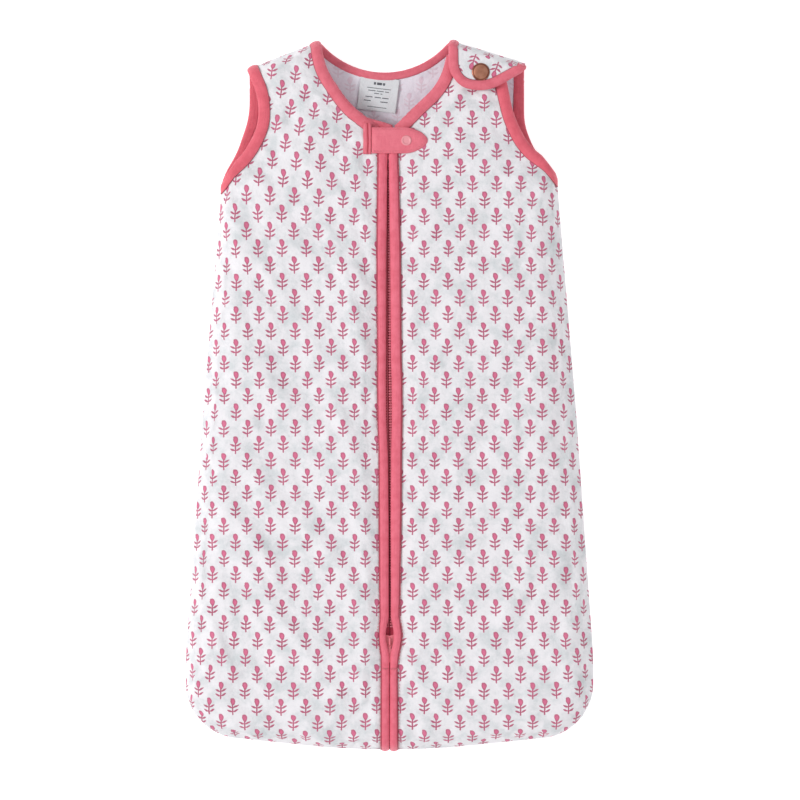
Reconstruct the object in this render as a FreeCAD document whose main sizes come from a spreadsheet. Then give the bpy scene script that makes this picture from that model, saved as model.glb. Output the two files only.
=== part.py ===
import FreeCAD, Part
import math
import os
import Sketcher
from FreeCAD import Placement, Rotation, Vector

# Baby sleeping bag, lying flat on its back and zipped open under laid-together fronts.
# X runs across the bag, +Y towards the neck, +Z up from the surface that it lies on.
# The origin is under the middle of the whole bag. Left and right are as seen from above,
# so the shoulder that opens with a snap is on the +X side.

DIMENSIONS = [
    # layers of the quilted panels
    ("shell_thick", 0.8, "printed cotton shell"),
    ("lining_thick", 0.8, "plain cotton lining"),
    ("pile", 6.0, "whole thickness of a panel: shell, wadding and lining"),
    ("ply_gap", 0.15, "air between two layers"),
    ("front_top", 30.0, "height of the front's flat top"),
    ("front_round", 15.0, "rounding where the front turns down to the side seam"),
    ("back_round", 4.8, "rounding under the back's edge"),
    ("seam_gap", 0.3, "back to front at the side seam"),
    # outline of the bag, left (minus X) and right sides
    ("peak_x", -12.0, "where the two shoulder lines would meet"),
    ("peak_y", 360.4, ""),
    ("peak_round", 180.0, ""),
    ("tip_left_x", -156.0, "outer end of the left shoulder line"),
    ("tip_left_y", 303.6, ""),
    ("tip_right_x", 150.0, "outer end of the right shoulder line"),
    ("tip_right_y", 311.5, ""),
    ("tip_round", 24.0, ""),
    ("underarm_x", 161.0, ""),
    ("underarm_y", 208.0, ""),
    ("waist_x", 178.0, ""),
    ("waist_y", -12.0, ""),
    ("waist_round", 900.0, ""),
    ("hip_x", 195.4, ""),
    ("hip_y", -250.0, ""),
    ("hip_round", 300.0, ""),
    ("corner_y", -323.5, "bottom corner"),
    ("corner_round", 40.0, ""),
    ("hem_y", -343.8, "where the two halves of the bottom edge would meet"),
    ("hem_round", 800.0, ""),
    # necklines
    ("neck_x", -4.0, "middle of the back neckline's circle"),
    ("neck_y", 392.0, ""),
    ("neck_radius", 81.0, ""),
    # bindings
    ("bind_width", 11.0, "front neck and armholes"),
    ("back_bind_width", 8.5, "back neck"),
    ("flap_bind_width", 7.0, "shoulder flap"),
    ("bind_ply", 0.8, "one leg of the folded binding"),
    ("bind_ease", 0.1, "binding to panel"),
    ("bind_edge", 1.2, "binding round the panel's edge"),
    # front opening: the fold lines run from the apex to the neckline
    ("slot_half", 11.6, "zip line to the edge of each front panel"),
    ("apex_y", -215.0, "where the two fold lines meet on the zip line"),
    ("fold_left_x", -57.0, "upper end of the left fold line"),
    ("fold_left_y", 277.0, ""),
    ("fold_right_x", 47.0, "upper end of the right fold line"),
    ("fold_right_y", 284.0, ""),
    ("fold_gap", 0.6, "gap along a fold line"),
    ("fold_end_gap", 1.2, "gap across the zip at the fold's lower end"),
    # plackets, the folded strips over the zip
    ("placket_in", 2.0, "zip line to the placket's inner edge"),
    ("placket_out", 11.3, "zip line to the placket's outer edge"),
    ("placket_base", 28.7, ""),
    ("placket_top", 31.6, ""),
    ("placket_round", 1.3, ""),
    ("zip_head_y", 256.0, "upper end of the plackets"),
    # zip
    ("coil_in", 3.0, "zip line to the open coil's teeth"),
    ("coil_out", 4.9, ""),
    ("coil_spine", 1.0, "width of the coil's sewn-down side"),
    ("coil_base", 25.0, ""),
    ("coil_height", 2.0, ""),
    ("coil_pitch", 3.0, ""),
    ("coil_tooth", 1.5, ""),
    ("zip_foot_y", -244.0, "lower end of the teeth"),
    ("zip_top_y", 240.0, "upper end of the teeth"),
    ("zip_tape_out", 18.5, "zip line to the tape's outer edge"),
    ("zip_tape_base", 25.7, ""),
    ("zip_tape_ply", 0.6, ""),
    ("zip_tape_foot_y", -318.0, ""),
    # slider and pull
    ("slider_y", -236.0, "middle of the slider, run down to the stop"),
    ("slider_half", 6.0, "half of the slider's width"),
    ("slider_length", 13.0, ""),
    ("slider_plate", 0.9, ""),
    ("slider_base", 23.7, ""),
    ("slider_high", 4.6, "outside both plates"),
    ("slider_flange", 0.8, ""),
    ("slider_wedge", 2.6, "half of the wedge's width"),
    ("bridge_half", 0.8, "half of the bridge's width"),
    ("bridge_length", 8.4, ""),
    ("bridge_leg", 1.0, ""),
    ("bridge_high", 2.5, "bridge above the upper plate"),
    ("pull_bar", 0.45, "radius of the pull's crossbar"),
    ("pull_half", 1.6, "half of the pull's width"),
    ("pull_arm", 0.6, "width of one arm of the pull's eye"),
    ("pull_eye", 5.2, "crossbar to the far end of the eye"),
    ("pull_length", 20.0, ""),
    # zip guard
    ("guard_root_x", -17.0, "fold of the guard tab"),
    ("guard_low_y", 232.0, ""),
    ("guard_high_y", 257.0, ""),
    ("guard_tip_x", 36.5, ""),
    ("guard_base", 32.0, ""),
    ("guard_thick", 2.4, ""),
    ("guard_strip", 7.2, "width of the strip that holds the tab's root"),
    # snaps
    ("guard_snap_x", 16.2, ""),
    ("guard_snap_y", 244.3, ""),
    ("guard_cap", 4.9, "radius"),
    ("guard_disc", 4.2, "radius of the socket and stud"),
    ("guard_boss", 1.5, "radius of the stud's head"),
    ("guard_post", 1.2, "radius"),
    ("shoulder_snap_x", 87.4, ""),
    ("shoulder_snap_y", 309.8, ""),
    ("shoulder_cap", 8.6, "radius"),
    ("shoulder_disc", 5.8, "radius of the socket and stud"),
    ("shoulder_boss", 2.0, "radius of the stud's head"),
    ("shoulder_post", 1.6, "radius"),
    ("cap_high", 1.6, "snap cap above the fabric"),
    # shoulder flap
    ("flap_pile", 4.4, "whole thickness of the flap"),
    ("flap_top", 36.6, ""),
    ("flap_round", 8.0, "rounding where the back turns over the shoulder"),
    ("flap_hinge", 10.0, "shoulder edge to the flap's fold"),
    ("strap_end", 12.0, "shoulder edge to the end of the front's strap"),
    # small fabric pieces
    ("label_width", 37.0, ""),
    ("label_length", 33.0, ""),
    ("label_thick", 0.5, ""),
    ("label_x", -11.0, ""),
    ("label_y", 285.0, ""),
    ("label_turn", -7.0, "degrees"),
    ("seam_width", 3.0, "overlocked seam allowance inside the side seam"),
    ("seam_thick", 1.0, ""),
]

SKY = 80.0  # above everything
FAR = 420.0  # beyond the outline

doc = FreeCAD.newDocument("sleeping_bag")


def make_sheet():
    """The driving dimensions, one row each: what it is, then its value under an alias."""
    sheet = doc.addObject("Spreadsheet::Sheet", "dims")
    for row, (alias, value, note) in enumerate(DIMENSIONS, start=1):
        sheet.set(f"A{row}", note or alias)
        sheet.set(f"B{row}", str(value))
        sheet.setAlias(f"B{row}", alias)
    doc.recompute()
    return sheet


sheet = make_sheet()
size = {alias: float(sheet.get(alias)) for alias, _, _ in DIMENSIONS}
parts = []


def keep(thing, label):
    """Names a finished sub-part, which is then written to its own file."""
    thing.Label = label
    parts.append(thing)
    return thing


def keep_shape(label, shape):
    """A sub-part whose shape is worked out here from the sheet's values."""
    solids = shape.Solids
    form = solids[0] if len(solids) == 1 else Part.makeCompound(solids)
    thing = doc.addObject("Part::Feature", label)
    thing.Shape = form
    thing.Placement = form.Placement
    return keep(thing, label)


# ---------------------------------------------------------------- plan shapes


def rounded_face(corners):
    """Flat face bounded by straight runs joined by tangent arcs. A corner is (x, y, radius)."""
    bends = []
    for i, (x, y, radius) in enumerate(corners):
        here = Vector(x, y, 0)
        back = (Vector(*corners[i - 1][:2], 0) - here).normalize()
        onward = (Vector(*corners[(i + 1) % len(corners)][:2], 0) - here).normalize()
        if radius == 0:
            bends.append((here, here, here))
            continue
        half = back.getAngle(onward) / 2
        reach = radius / math.tan(half)
        inward = (back + onward).normalize()
        middle = here + inward * (radius / math.sin(half) - radius)
        bends.append((here + back * reach, middle, here + onward * reach))
    edges = []
    for i, (start, middle, end) in enumerate(bends):
        if start != end:
            edges.append(Part.Arc(start, middle, end).toShape())
        following = bends[(i + 1) % len(bends)][0]
        if (following - end).Length > 1e-6:
            edges.append(Part.LineSegment(end, following).toShape())
    return Part.Face(Part.Wire(edges))


def grown(face, amount):
    """The face with its edge moved outwards, or inwards where amount is negative."""
    return face.makeOffset2D(amount) if amount else face


def prism(face, low=-SKY, high=SKY):
    solid = face.extrude(Vector(0, 0, high - low))
    solid.translate(Vector(0, 0, low))
    return solid


def outline():
    """Plan outline of the bag, with the neck and armholes not yet cut out."""
    right = [
        (size["hip_x"], size["hip_y"], size["hip_round"]),
        (size["waist_x"], size["waist_y"], size["waist_round"]),
        (size["underarm_x"], size["underarm_y"], 0),
    ]
    left = [(-x, y, radius) for x, y, radius in reversed(right)]
    return rounded_face(
        [(0, size["hem_y"], size["hem_round"])]
        + [(size["hip_x"] + 0.6, size["corner_y"], size["corner_round"])]
        + [(x, y, radius or 200) for x, y, radius in right]
        + [(size["tip_right_x"], size["tip_right_y"], size["tip_round"])]
        + [(size["peak_x"], size["peak_y"], size["peak_round"])]
        + [(size["tip_left_x"], size["tip_left_y"], size["tip_round"])]
        + [(x, y, radius or 200) for x, y, radius in left]
        + [(-size["hip_x"] - 0.6, size["corner_y"], size["corner_round"])]
    )


def shoulder_line(inset):
    """Two points on a line parallel to the right shoulder edge, this far inside it."""
    start = Vector(size["peak_x"], size["peak_y"], 0)
    end = Vector(size["tip_right_x"], size["tip_right_y"], 0)
    along = (end - start).normalize()
    across = Vector(along.y, -along.x, 0)
    return start + across * inset, end + along * 40 + across * inset


OUTLINE = outline()
FRONT_NECK = rounded_face(
    [
        (-67, 420, 0),
        (-67, 345, 0),
        (-61.5, 314, 60),
        (-39, 280, 80),
        (-9, 257, 0),
        (3.5, 257, 0),
        (26, 279, 90),
        (49, 300.5, 60),
        (57.5, 320, 40),
        (57.5, 420, 0),
    ]
)
BACK_NECK = Part.Face(
    Part.Wire(
        Part.makeCircle(
            size["neck_radius"], Vector(size["neck_x"], size["neck_y"], 0)
        )
    )
)
FRONT_ARM_LEFT = rounded_face(
    [
        (-FAR, FAR, 0),
        (-FAR, 206, 0),
        (-169, 206, 0),
        (-140, 232, 60),
        (-125.5, 259, 50),
        (-125, 288, 60),
        (-140, 334, 0),
        (-140, FAR, 0),
    ]
)
BACK_ARM_LEFT = rounded_face(
    [
        (-FAR, FAR, 0),
        (-FAR, 202, 0),
        (-166, 202, 0),
        (-147, 235, 90),
        (-135, 270, 80),
        (-135, FAR, 0),
    ]
)
BACK_ARM_RIGHT = rounded_face(
    [
        (FAR, FAR, 0),
        (129.8, FAR, 0),
        (129.8, 262, 60),
        (141, 234, 60),
        (170, 208, 0),
        (FAR, 208, 0),
    ]
)


FRONT_ARM_RIGHT = rounded_face(
    [
        (FAR, FAR, 0),
        (111, FAR, 0),
        (111, 308, 0),
        (118.5, 270, 100),
        (133, 240, 60),
        (170, 213, 0),
        (FAR, 213, 0),
    ]
)


def beyond_line(inset):
    """Plan of everything past a line parallel to the right shoulder, this far inside it."""
    start, end = shoulder_line(inset)
    slope = (end.y - start.y) / (end.x - start.x)
    near_x = 50.0
    near_y = start.y + slope * (near_x - start.x)
    return rounded_face(
        [(near_x, near_y, 0), (end.x, end.y, 0), (end.x, FAR, 0), (near_x, FAR, 0)]
    )


STRAP_CUT = beyond_line(size["strap_end"])
TURN_ZONE = beyond_line(size["flap_hinge"])
FRONT_CUTS = {
    "neck": FRONT_NECK,
    "left": FRONT_ARM_LEFT,
    "right": FRONT_ARM_RIGHT,
    "strap": STRAP_CUT,
}
BACK_CUTS = {"neck": BACK_NECK, "left": BACK_ARM_LEFT, "right": BACK_ARM_RIGHT}


# ---------------------------------------------------------------- panel forms

forms = {}
SEAM = size["pile"] + size["seam_gap"]


def lid(inset, base=SEAM, top=None, rounding=None):
    """The front half's form: the outline carried up from the side seam, its top edge rounded."""
    top = top or size["front_top"]
    rounding = rounding or size["front_round"]
    key = (round(inset, 3), base, top, rounding)
    if key not in forms:
        solid = prism(grown(OUTLINE, -inset), base, top - inset)
        upper = [
            e for e in solid.Edges if abs(e.BoundBox.ZMin - (top - inset)) < 1e-6
        ]
        forms[key] = solid.makeFillet(rounding - inset, upper)
    return forms[key]


def tray(inset, top):
    """The back half's form: a plate with its lower edge rounded."""
    solid = prism(grown(OUTLINE, -inset), inset, top)
    lower = [e for e in solid.Edges if abs(e.BoundBox.ZMax - inset) < 1e-6]
    return solid.makeFillet(size["back_round"] - inset, lower)


def shell_of(outer, inner, top=None, rounding=None):
    """What lies between two insets of the front half's form."""
    return lid(outer, SEAM, top, rounding).cut(lid(inner, -SKY, top, rounding))


def plies(pile):
    """Each layer's name and its two insets, from the shell inwards."""
    gap = size["ply_gap"]
    return [
        ("outer", 0.0, size["shell_thick"]),
        ("wadding", size["shell_thick"] + gap, pile - size["lining_thick"] - gap),
        ("lining", pile - size["lining_thick"], pile),
    ]


def fold_x(side, y):
    """Where the side's fold line crosses this Y."""
    far_x, far_y = size[f"fold_{side}_x"], size[f"fold_{side}_y"]
    return far_x * (y - size["apex_y"]) / (far_y - size["apex_y"])


def fold_foot(side):
    """The Y at which the fold line meets the edge of the front panel."""
    far_x, far_y = size[f"fold_{side}_x"], size[f"fold_{side}_y"]
    run = far_y - size["apex_y"]
    return size["apex_y"] + size["slot_half"] * run / abs(far_x)


def lapel_face(side):
    """Plan of the part of one front that folds back, as far as the neck opening."""
    sign = -1 if side == "left" else 1
    edge = sign * size["slot_half"]
    corners = [
        (edge, fold_foot(side), 0),
        (size[f"fold_{side}_x"], size[f"fold_{side}_y"], 0),
        (size[f"fold_{side}_x"] - sign * 20, size[f"fold_{side}_y"] + 25, 0),
        (edge, size[f"fold_{side}_y"] + 25, 0),
    ]
    return rounded_face(corners)


def half_face(side):
    """Plan of everything on one side of the zip slot."""
    sign = -1 if side == "left" else 1
    edge = sign * size["slot_half"]
    return rounded_face(
        [(edge, -FAR, 0), (edge, FAR, 0), (sign * FAR, FAR, 0), (sign * FAR, -FAR, 0)]
    )


def lapel_zone(side):
    return prism(lapel_face(side))


def fixed_zone(side):
    return prism(half_face(side)).cut(prism(grown(lapel_face(side), size["fold_gap"])))


def trimmed(shape, cuts, margin):
    """The shape cut back to this far inside each neck and arm opening."""
    for face in cuts:
        shape = shape.cut(prism(grown(face, margin)))
    return shape


def bore(x, y, radius, low, high):
    return Part.makeCylinder(radius, high - low, Vector(x, y, low))


def front_panels():
    """Shell, wadding and lining of each front: a fixed side and a part that folds back."""
    margin = size["bind_edge"] + 2 * size["bind_ease"]
    snap = (size["shoulder_snap_x"], size["shoulder_snap_y"])
    guard = (size["guard_snap_x"], size["guard_snap_y"])
    holes = [bore(*snap, size["shoulder_post"] + 0.3, 0, 40)]
    holes += [bore(*guard, size["guard_post"] + 0.3, 0, 40)]
    for layer, outer, inner in plies(size["pile"]):
        sheet_form = trimmed(shell_of(outer, inner), FRONT_CUTS.values(), margin)
        for hole in holes:
            sheet_form = sheet_form.cut(hole)
        for side in ("left", "right"):
            fixed = sheet_form.common(fixed_zone(side))
            lapel = sheet_form.common(lapel_zone(side))
            if layer == "wadding":
                zip_bay = Part.makeBox(
                    2 * size["zip_tape_out"] + 1,
                    size["zip_head_y"] - size["zip_tape_foot_y"] + 60,
                    SKY,
                    Vector(-size["zip_tape_out"] - 0.5, size["zip_tape_foot_y"] - 1, 10),
                )
                fixed = fixed.cut(zip_bay)
                lapel = lapel.cut(zip_bay)
            keep_shape(f"front_{side}_{layer}", fixed)
            keep_shape(f"{side}_lapel_{layer}", lapel)


def back_panels():
    """Shell, wadding and lining of the back. The shell stops where the bindings turn under."""
    margin = size["bind_edge"] + 2 * size["bind_ease"]
    top = size["pile"]
    shell = tray(0, top).cut(tray(size["shell_thick"], SKY))
    under = size["bind_ply"] + size["bind_ease"]
    for name, face in BACK_CUTS.items():
        width = size["back_bind_width"] if name == "neck" else size["bind_width"]
        shell = shell.cut(prism(grown(face, width + 0.2), -1, under))
    fill_top = top - size["lining_thick"] - size["ply_gap"]
    fill = tray(size["shell_thick"] + size["ply_gap"], fill_top)
    lining = prism(
        grown(OUTLINE, -size["shell_thick"] - 0.2), top - size["lining_thick"], top
    )
    layers = {"outer": shell, "wadding": fill, "lining": lining}
    for layer, form in layers.items():
        keep_shape(f"back_{layer}", trimmed(form, BACK_CUTS.values(), margin))


# ------------------------------------------------------------------- bindings


def wrap_band(face, width, wrap, slot):
    """A folded binding: the wrap within its width of the edge, less the slot for the panel."""
    band = prism(grown(face, width)).cut(prism(face))
    inside = prism(grown(face, width + 2)).cut(prism(grown(face, size["bind_edge"])))
    return wrap.common(band).cut(slot.common(inside))


def front_wrap():
    lap = size["bind_ply"] + size["bind_ease"]
    ease = size["bind_ease"]
    wrap = shell_of(-lap, size["pile"] + lap)
    slot = lid(-ease, SEAM - 1).cut(lid(size["pile"] + ease, -SKY))
    return wrap, slot


def front_bindings():
    wrap, slot = front_wrap()
    width = size["bind_width"]
    neck = wrap_band(FRONT_NECK, width, wrap, slot)
    strap_end = prism(STRAP_CUT)
    neck = neck.cut(strap_end)
    keep_shape("left_neck_binding", neck.common(lapel_zone("left")))
    keep_shape("right_neck_binding", neck.common(lapel_zone("right")))
    for side in ("left", "right"):
        keep_shape(f"{side}_shoulder_neck_binding", neck.common(fixed_zone(side)))
    arm_left = wrap_band(FRONT_ARM_LEFT, width, wrap, slot)
    keep_shape("front_left_armhole_binding", arm_left)
    arm_right = wrap_band(FRONT_ARM_RIGHT, width, wrap, slot).cut(strap_end)
    keep_shape("front_right_armhole_binding", arm_right)


def back_wrap(face, width):
    """The back's binding: flush underneath, and lapped over the lining inside the bag."""
    lap = size["bind_ply"] + size["bind_ease"]
    top = size["pile"]
    rim_inset = size["pile"] + lap + 0.4
    low = prism(OUTLINE, 0, top)
    high = prism(grown(OUTLINE, -rim_inset), 0, top + lap)
    slot = prism(grown(OUTLINE, 2), lap, top + size["bind_ease"])
    return wrap_band(face, width, low.fuse(high), slot)


def flap_face():
    """Plan of the shoulder flap and the turned strip behind it, out to the binding's edge."""
    return rounded_face(
        [
            (57.0, FAR, 0),
            (57.0, 311, 22),
            (69, 294.5, 22),
            (95, 291.5, 40),
            (129.8, 311.5, 0),
            (129.8, FAR, 0),
        ]
    )


def turn_bindings():
    """The bindings carried round the turned shoulder, at its neck side and its arm side."""
    lap = size["bind_ply"] + size["bind_ease"]
    ease = size["bind_ease"]
    form = (size["flap_top"], size["flap_round"])
    wrap = shell_of(-lap, size["flap_pile"] + lap, *form)
    slot = lid(-ease, SEAM - 1, *form).cut(lid(size["flap_pile"] + ease, -SKY, *form))
    around = prism(flap_face()).common(prism(TURN_ZONE))
    band = around.cut(prism(grown(flap_face(), -size["flap_bind_width"])))
    inside = prism(grown(flap_face(), -size["bind_edge"]))
    turned = wrap.common(band).cut(slot.common(inside))
    neck_side = [s for s in turned.Solids if s.CenterOfMass.x < 93]
    arm_side = [s for s in turned.Solids if s.CenterOfMass.x > 93]
    return neck_side, arm_side


def back_bindings():
    neck_side, arm_side = turn_bindings()
    neck = back_wrap(BACK_NECK, size["back_bind_width"])
    keep_shape("back_neck_binding", Part.makeCompound(neck.Solids + neck_side))
    left = back_wrap(BACK_ARM_LEFT, size["bind_width"])
    keep_shape("back_left_armhole_binding", left)
    right = back_wrap(BACK_ARM_RIGHT, size["bind_width"])
    keep_shape("back_right_armhole_binding", Part.makeCompound(right.Solids + arm_side))


# ------------------------------------------------------------- shoulder flap


def shoulder_flap():
    """The back's shoulder: a turned strip that stays put, and the flap that unsnaps."""
    margin = size["bind_edge"] + 2 * size["bind_ease"]
    form = (size["flap_top"], size["flap_round"])
    snap = (size["shoulder_snap_x"], size["shoulder_snap_y"])
    plan = prism(grown(flap_face(), -margin))
    turn = prism(TURN_ZONE)
    flap = plan.cut(prism(grown(TURN_ZONE, size["fold_gap"])))
    post = bore(*snap, size["shoulder_post"] + 0.3, 0, 60)
    well = bore(*snap, size["shoulder_disc"] + 0.3, 0, 34.3)
    for layer, outer, inner in plies(size["flap_pile"]):
        sheet_form = shell_of(outer, inner, *form)
        keep_shape(f"shoulder_turn_{layer}", sheet_form.common(plan).common(turn))
        piece = sheet_form.common(flap).cut(post)
        if layer != "outer":
            piece = piece.cut(well)
        keep_shape(f"shoulder_flap_{layer}", piece)
    lap = size["bind_ply"] + size["bind_ease"]
    ease = size["bind_ease"]
    wrap = shell_of(-lap, size["flap_pile"] + lap, *form)
    slot = lid(-ease, SEAM - 1, *form).cut(lid(size["flap_pile"] + ease, -SKY, *form))
    band = prism(flap_face()).cut(prism(grown(flap_face(), -size["flap_bind_width"])))
    band = band.cut(prism(grown(TURN_ZONE, size["fold_gap"])))
    inside = prism(grown(flap_face(), -size["bind_edge"]))
    keep_shape("shoulder_flap_binding", wrap.common(band).cut(slot.common(inside)))


# ------------------------------------------------------------ zip and plackets


def centre_strip(x_low, x_high, base, top, y_high, y_low=None, rounding=0.0):
    """A strip along the zip line. Without y_low it runs on round the bottom edge to the seam."""
    wide = x_high - x_low
    if y_low is not None:
        strip = Part.makeBox(wide, y_high - y_low, top - base, Vector(x_low, y_low, base))
    else:
        turn_y = OUTLINE.BoundBox.YMin + size["front_round"]
        turn_z = size["front_top"] - size["front_round"]
        outer, inner = top - turn_z, base - turn_z
        at, across = Vector(x_low, turn_y, turn_z), Vector(1, 0, 0)
        run = Part.makeBox(wide, y_high - turn_y, top - base, Vector(x_low, turn_y, base))
        ring = Part.makeCylinder(outer, wide, at, across)
        ring = ring.cut(Part.makeCylinder(inner, wide, at, across))
        quarter = Part.makeBox(wide, outer, outer, Vector(x_low, turn_y - outer, turn_z))
        down = Part.makeBox(
            wide, top - base, turn_z - SEAM, Vector(x_low, turn_y - outer, SEAM)
        )
        strip = run.fuse([ring.common(quarter), down]).removeSplitter()
    if rounding:
        crowned = [
            e
            for e in strip.Edges
            if abs(e.BoundBox.ZMin - top) < 1e-6 and e.BoundBox.YLength > 20
        ]
        strip = strip.makeFillet(rounding, crowned)
    return strip


def mirrored(shape, side):
    """The shape as built on the right, or mirrored across the zip line for the left."""
    return shape if side == "right" else shape.mirror(Vector(0, 0, 0), Vector(1, 0, 0))


def coil(y_low, y_high):
    """One row of the coil on the right: a spine with teeth towards the zip line."""
    pitch, tooth = size["coil_pitch"], size["coil_tooth"]
    spine = size["coil_out"] - size["coil_spine"]
    count = int((y_high - y_low - tooth) // pitch) + 1
    points = [Vector(size["coil_out"], y_low, 0)]
    for i in range(count):
        y = y_low + i * pitch
        points += [
            Vector(size["coil_in"], y, 0),
            Vector(size["coil_in"], y + tooth, 0),
            Vector(spine, y + tooth, 0),
        ]
        if i < count - 1:
            points.append(Vector(spine, y + pitch, 0))
    last = y_low + (count - 1) * pitch + tooth
    points += [Vector(size["coil_out"], last, 0), points[0]]
    row = Part.Face(Part.makePolygon(points)).extrude(Vector(0, 0, size["coil_height"]))
    row.translate(Vector(0, 0, size["coil_base"]))
    return row


def zip_tape(y_low, y_high):
    """One tape on the right, from the coil to its edge between the panel's layers."""
    return Part.makeBox(
        size["zip_tape_out"] - size["coil_out"] - 0.1,
        y_high - y_low,
        size["zip_tape_ply"],
        Vector(size["coil_out"] + 0.1, y_low, size["zip_tape_base"]),
    )


def zip_and_plackets():
    head = size["zip_head_y"]
    foot_coils, foot_tapes = [], []
    for side in ("left", "right"):
        foot = fold_foot(side) + 0.4
        fixed_head = foot - size["fold_end_gap"]
        strip = (size["placket_in"], size["placket_out"])
        height = (size["placket_base"], size["placket_top"])
        upper = centre_strip(*strip, *height, head, foot, size["placket_round"])
        lower = centre_strip(*strip, *height, fixed_head, None, size["placket_round"])
        keep_shape(f"{side}_placket", mirrored(upper, side))
        keep_shape(f"lower_{side}_placket", mirrored(lower, side))
        row = coil(foot, size["zip_top_y"])
        keep_shape(f"{side}_zip_coil", mirrored(row, side))
        tape = mirrored(zip_tape(foot, size["zip_top_y"] + 3), side)
        keep_shape(f"{side}_zip_tape", tape.cut(fixed_zone(side)))
        foot_coils.append(mirrored(coil(size["zip_foot_y"], fixed_head), side))
        foot_tapes.append(mirrored(zip_tape(size["zip_tape_foot_y"], fixed_head), side))
    keep_shape("zip_foot_coils", Part.makeCompound(foot_coils))
    keep_shape("zip_foot_tapes", Part.makeCompound(foot_tapes))
    cover = centre_strip(-4.8, 4.8, 26.5, 28.3, size["zip_foot_y"] - 6, None)
    keep_shape("zip_end_cover", cover)


# ---------------------------------------------------- parametric small pieces


def bound(thing, **expressions):
    """Binds properties of an object to the sheet: a name with __ stands for a dotted path."""
    for name, expression in expressions.items():
        thing.setExpression(name.replace("__", "."), str(expression))
    return thing


def block(name, x, y, z, length, width, height):
    """A box whose corner and sizes are expressions over the sheet."""
    thing = doc.addObject("Part::Box", name)
    return bound(
        thing,
        Length=length,
        Width=width,
        Height=height,
        Placement__Base__x=x,
        Placement__Base__y=y,
        Placement__Base__z=z,
    )


def fused(name, *things):
    thing = doc.addObject("Part::MultiFuse", name)
    thing.Shapes = list(things)
    return thing


def cut_from(name, base, tool):
    thing = doc.addObject("Part::Cut", name)
    thing.Base = base
    thing.Tool = tool
    return thing


def plane_of(body, role):
    return next(f for f in body.Origin.OriginFeatures if f.Role == role)


def circle_feature(body, kind, name, x, y, z, radius, length):
    """A round pad or pocket: a constrained circle at a bound place, with a bound length."""
    sketch = body.newObject("Sketcher::SketchObject", name + "_sketch")
    sketch.AttachmentSupport = [(plane_of(body, "XY_Plane"), "")]
    sketch.MapMode = "FlatFace"
    bound(
        sketch,
        AttachmentOffset__Base__x=x,
        AttachmentOffset__Base__y=y,
        AttachmentOffset__Base__z=z,
    )
    sketch.addGeometry(Part.Circle(Vector(0, 0, 0), Vector(0, 0, 1), 2.0), False)
    sketch.addConstraint(Sketcher.Constraint("Coincident", 0, 3, -1, 1))
    sketch.addConstraint(Sketcher.Constraint("Radius", 0, 2.0))
    sketch.setExpression("Constraints[1]", radius)
    feature = body.newObject("PartDesign::" + kind, name)
    feature.Profile = sketch
    bound(feature, Length=length)
    sketch.Visibility = False
    doc.recompute()
    return feature


def new_body(label):
    body = doc.addObject("PartDesign::Body", label)
    body.Label = label
    return body


def snap_cap(label, at, radius, post, top, post_foot):
    """A domed cap with its post, which goes down through the fabric to the socket."""
    body = new_body(label)
    disc = circle_feature(
        body, "Pad", "disc", *at, f"{top} + 0.1", radius, "dims.cap_high"
    )
    upper = max(
        range(len(disc.Shape.Edges)),
        key=lambda i: disc.Shape.Edges[i].BoundBox.ZMin + disc.Shape.Edges[i].Length * 1e-6,
    )
    dome = body.newObject("PartDesign::Fillet", "dome")
    dome.Base = (disc, [f"Edge{upper + 1}"])
    bound(dome, Radius="dims.cap_high * 0.7")
    doc.recompute()
    circle_feature(
        body, "Pad", "post", *at, post_foot, post, f"{top} + 0.1 - ({post_foot})"
    )
    return keep(body, label)


def snap_socket(label, at, disc, boss, foot, height, depth):
    """The spring half: a ring with a blind hole underneath for the stud."""
    body = new_body(label)
    circle_feature(body, "Pad", "ring", *at, foot, disc, height)
    hole = circle_feature(
        body, "Pocket", "hole", *at, foot, f"{boss} + 0.6", depth
    )
    hole.Reversed = True
    return keep(body, label)


def snap_stud(label, at, disc, boss, foot, plate, high):
    """The stud half: a base on the fabric with a round head."""
    body = new_body(label)
    circle_feature(body, "Pad", "base", *at, foot, disc, plate)
    circle_feature(body, "Pad", "head", *at, f"{foot} + {plate}", boss, high)
    return keep(body, label)


def snap_back(label, at, disc, post, foot, plate, top):
    """The ring behind the stud, on the lining, with the rivet through the panel."""
    body = new_body(label)
    circle_feature(body, "Pad", "ring", *at, foot, disc, plate)
    circle_feature(body, "Pad", "rivet", *at, foot, post, f"{top} - ({foot})")
    return keep(body, label)


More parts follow.
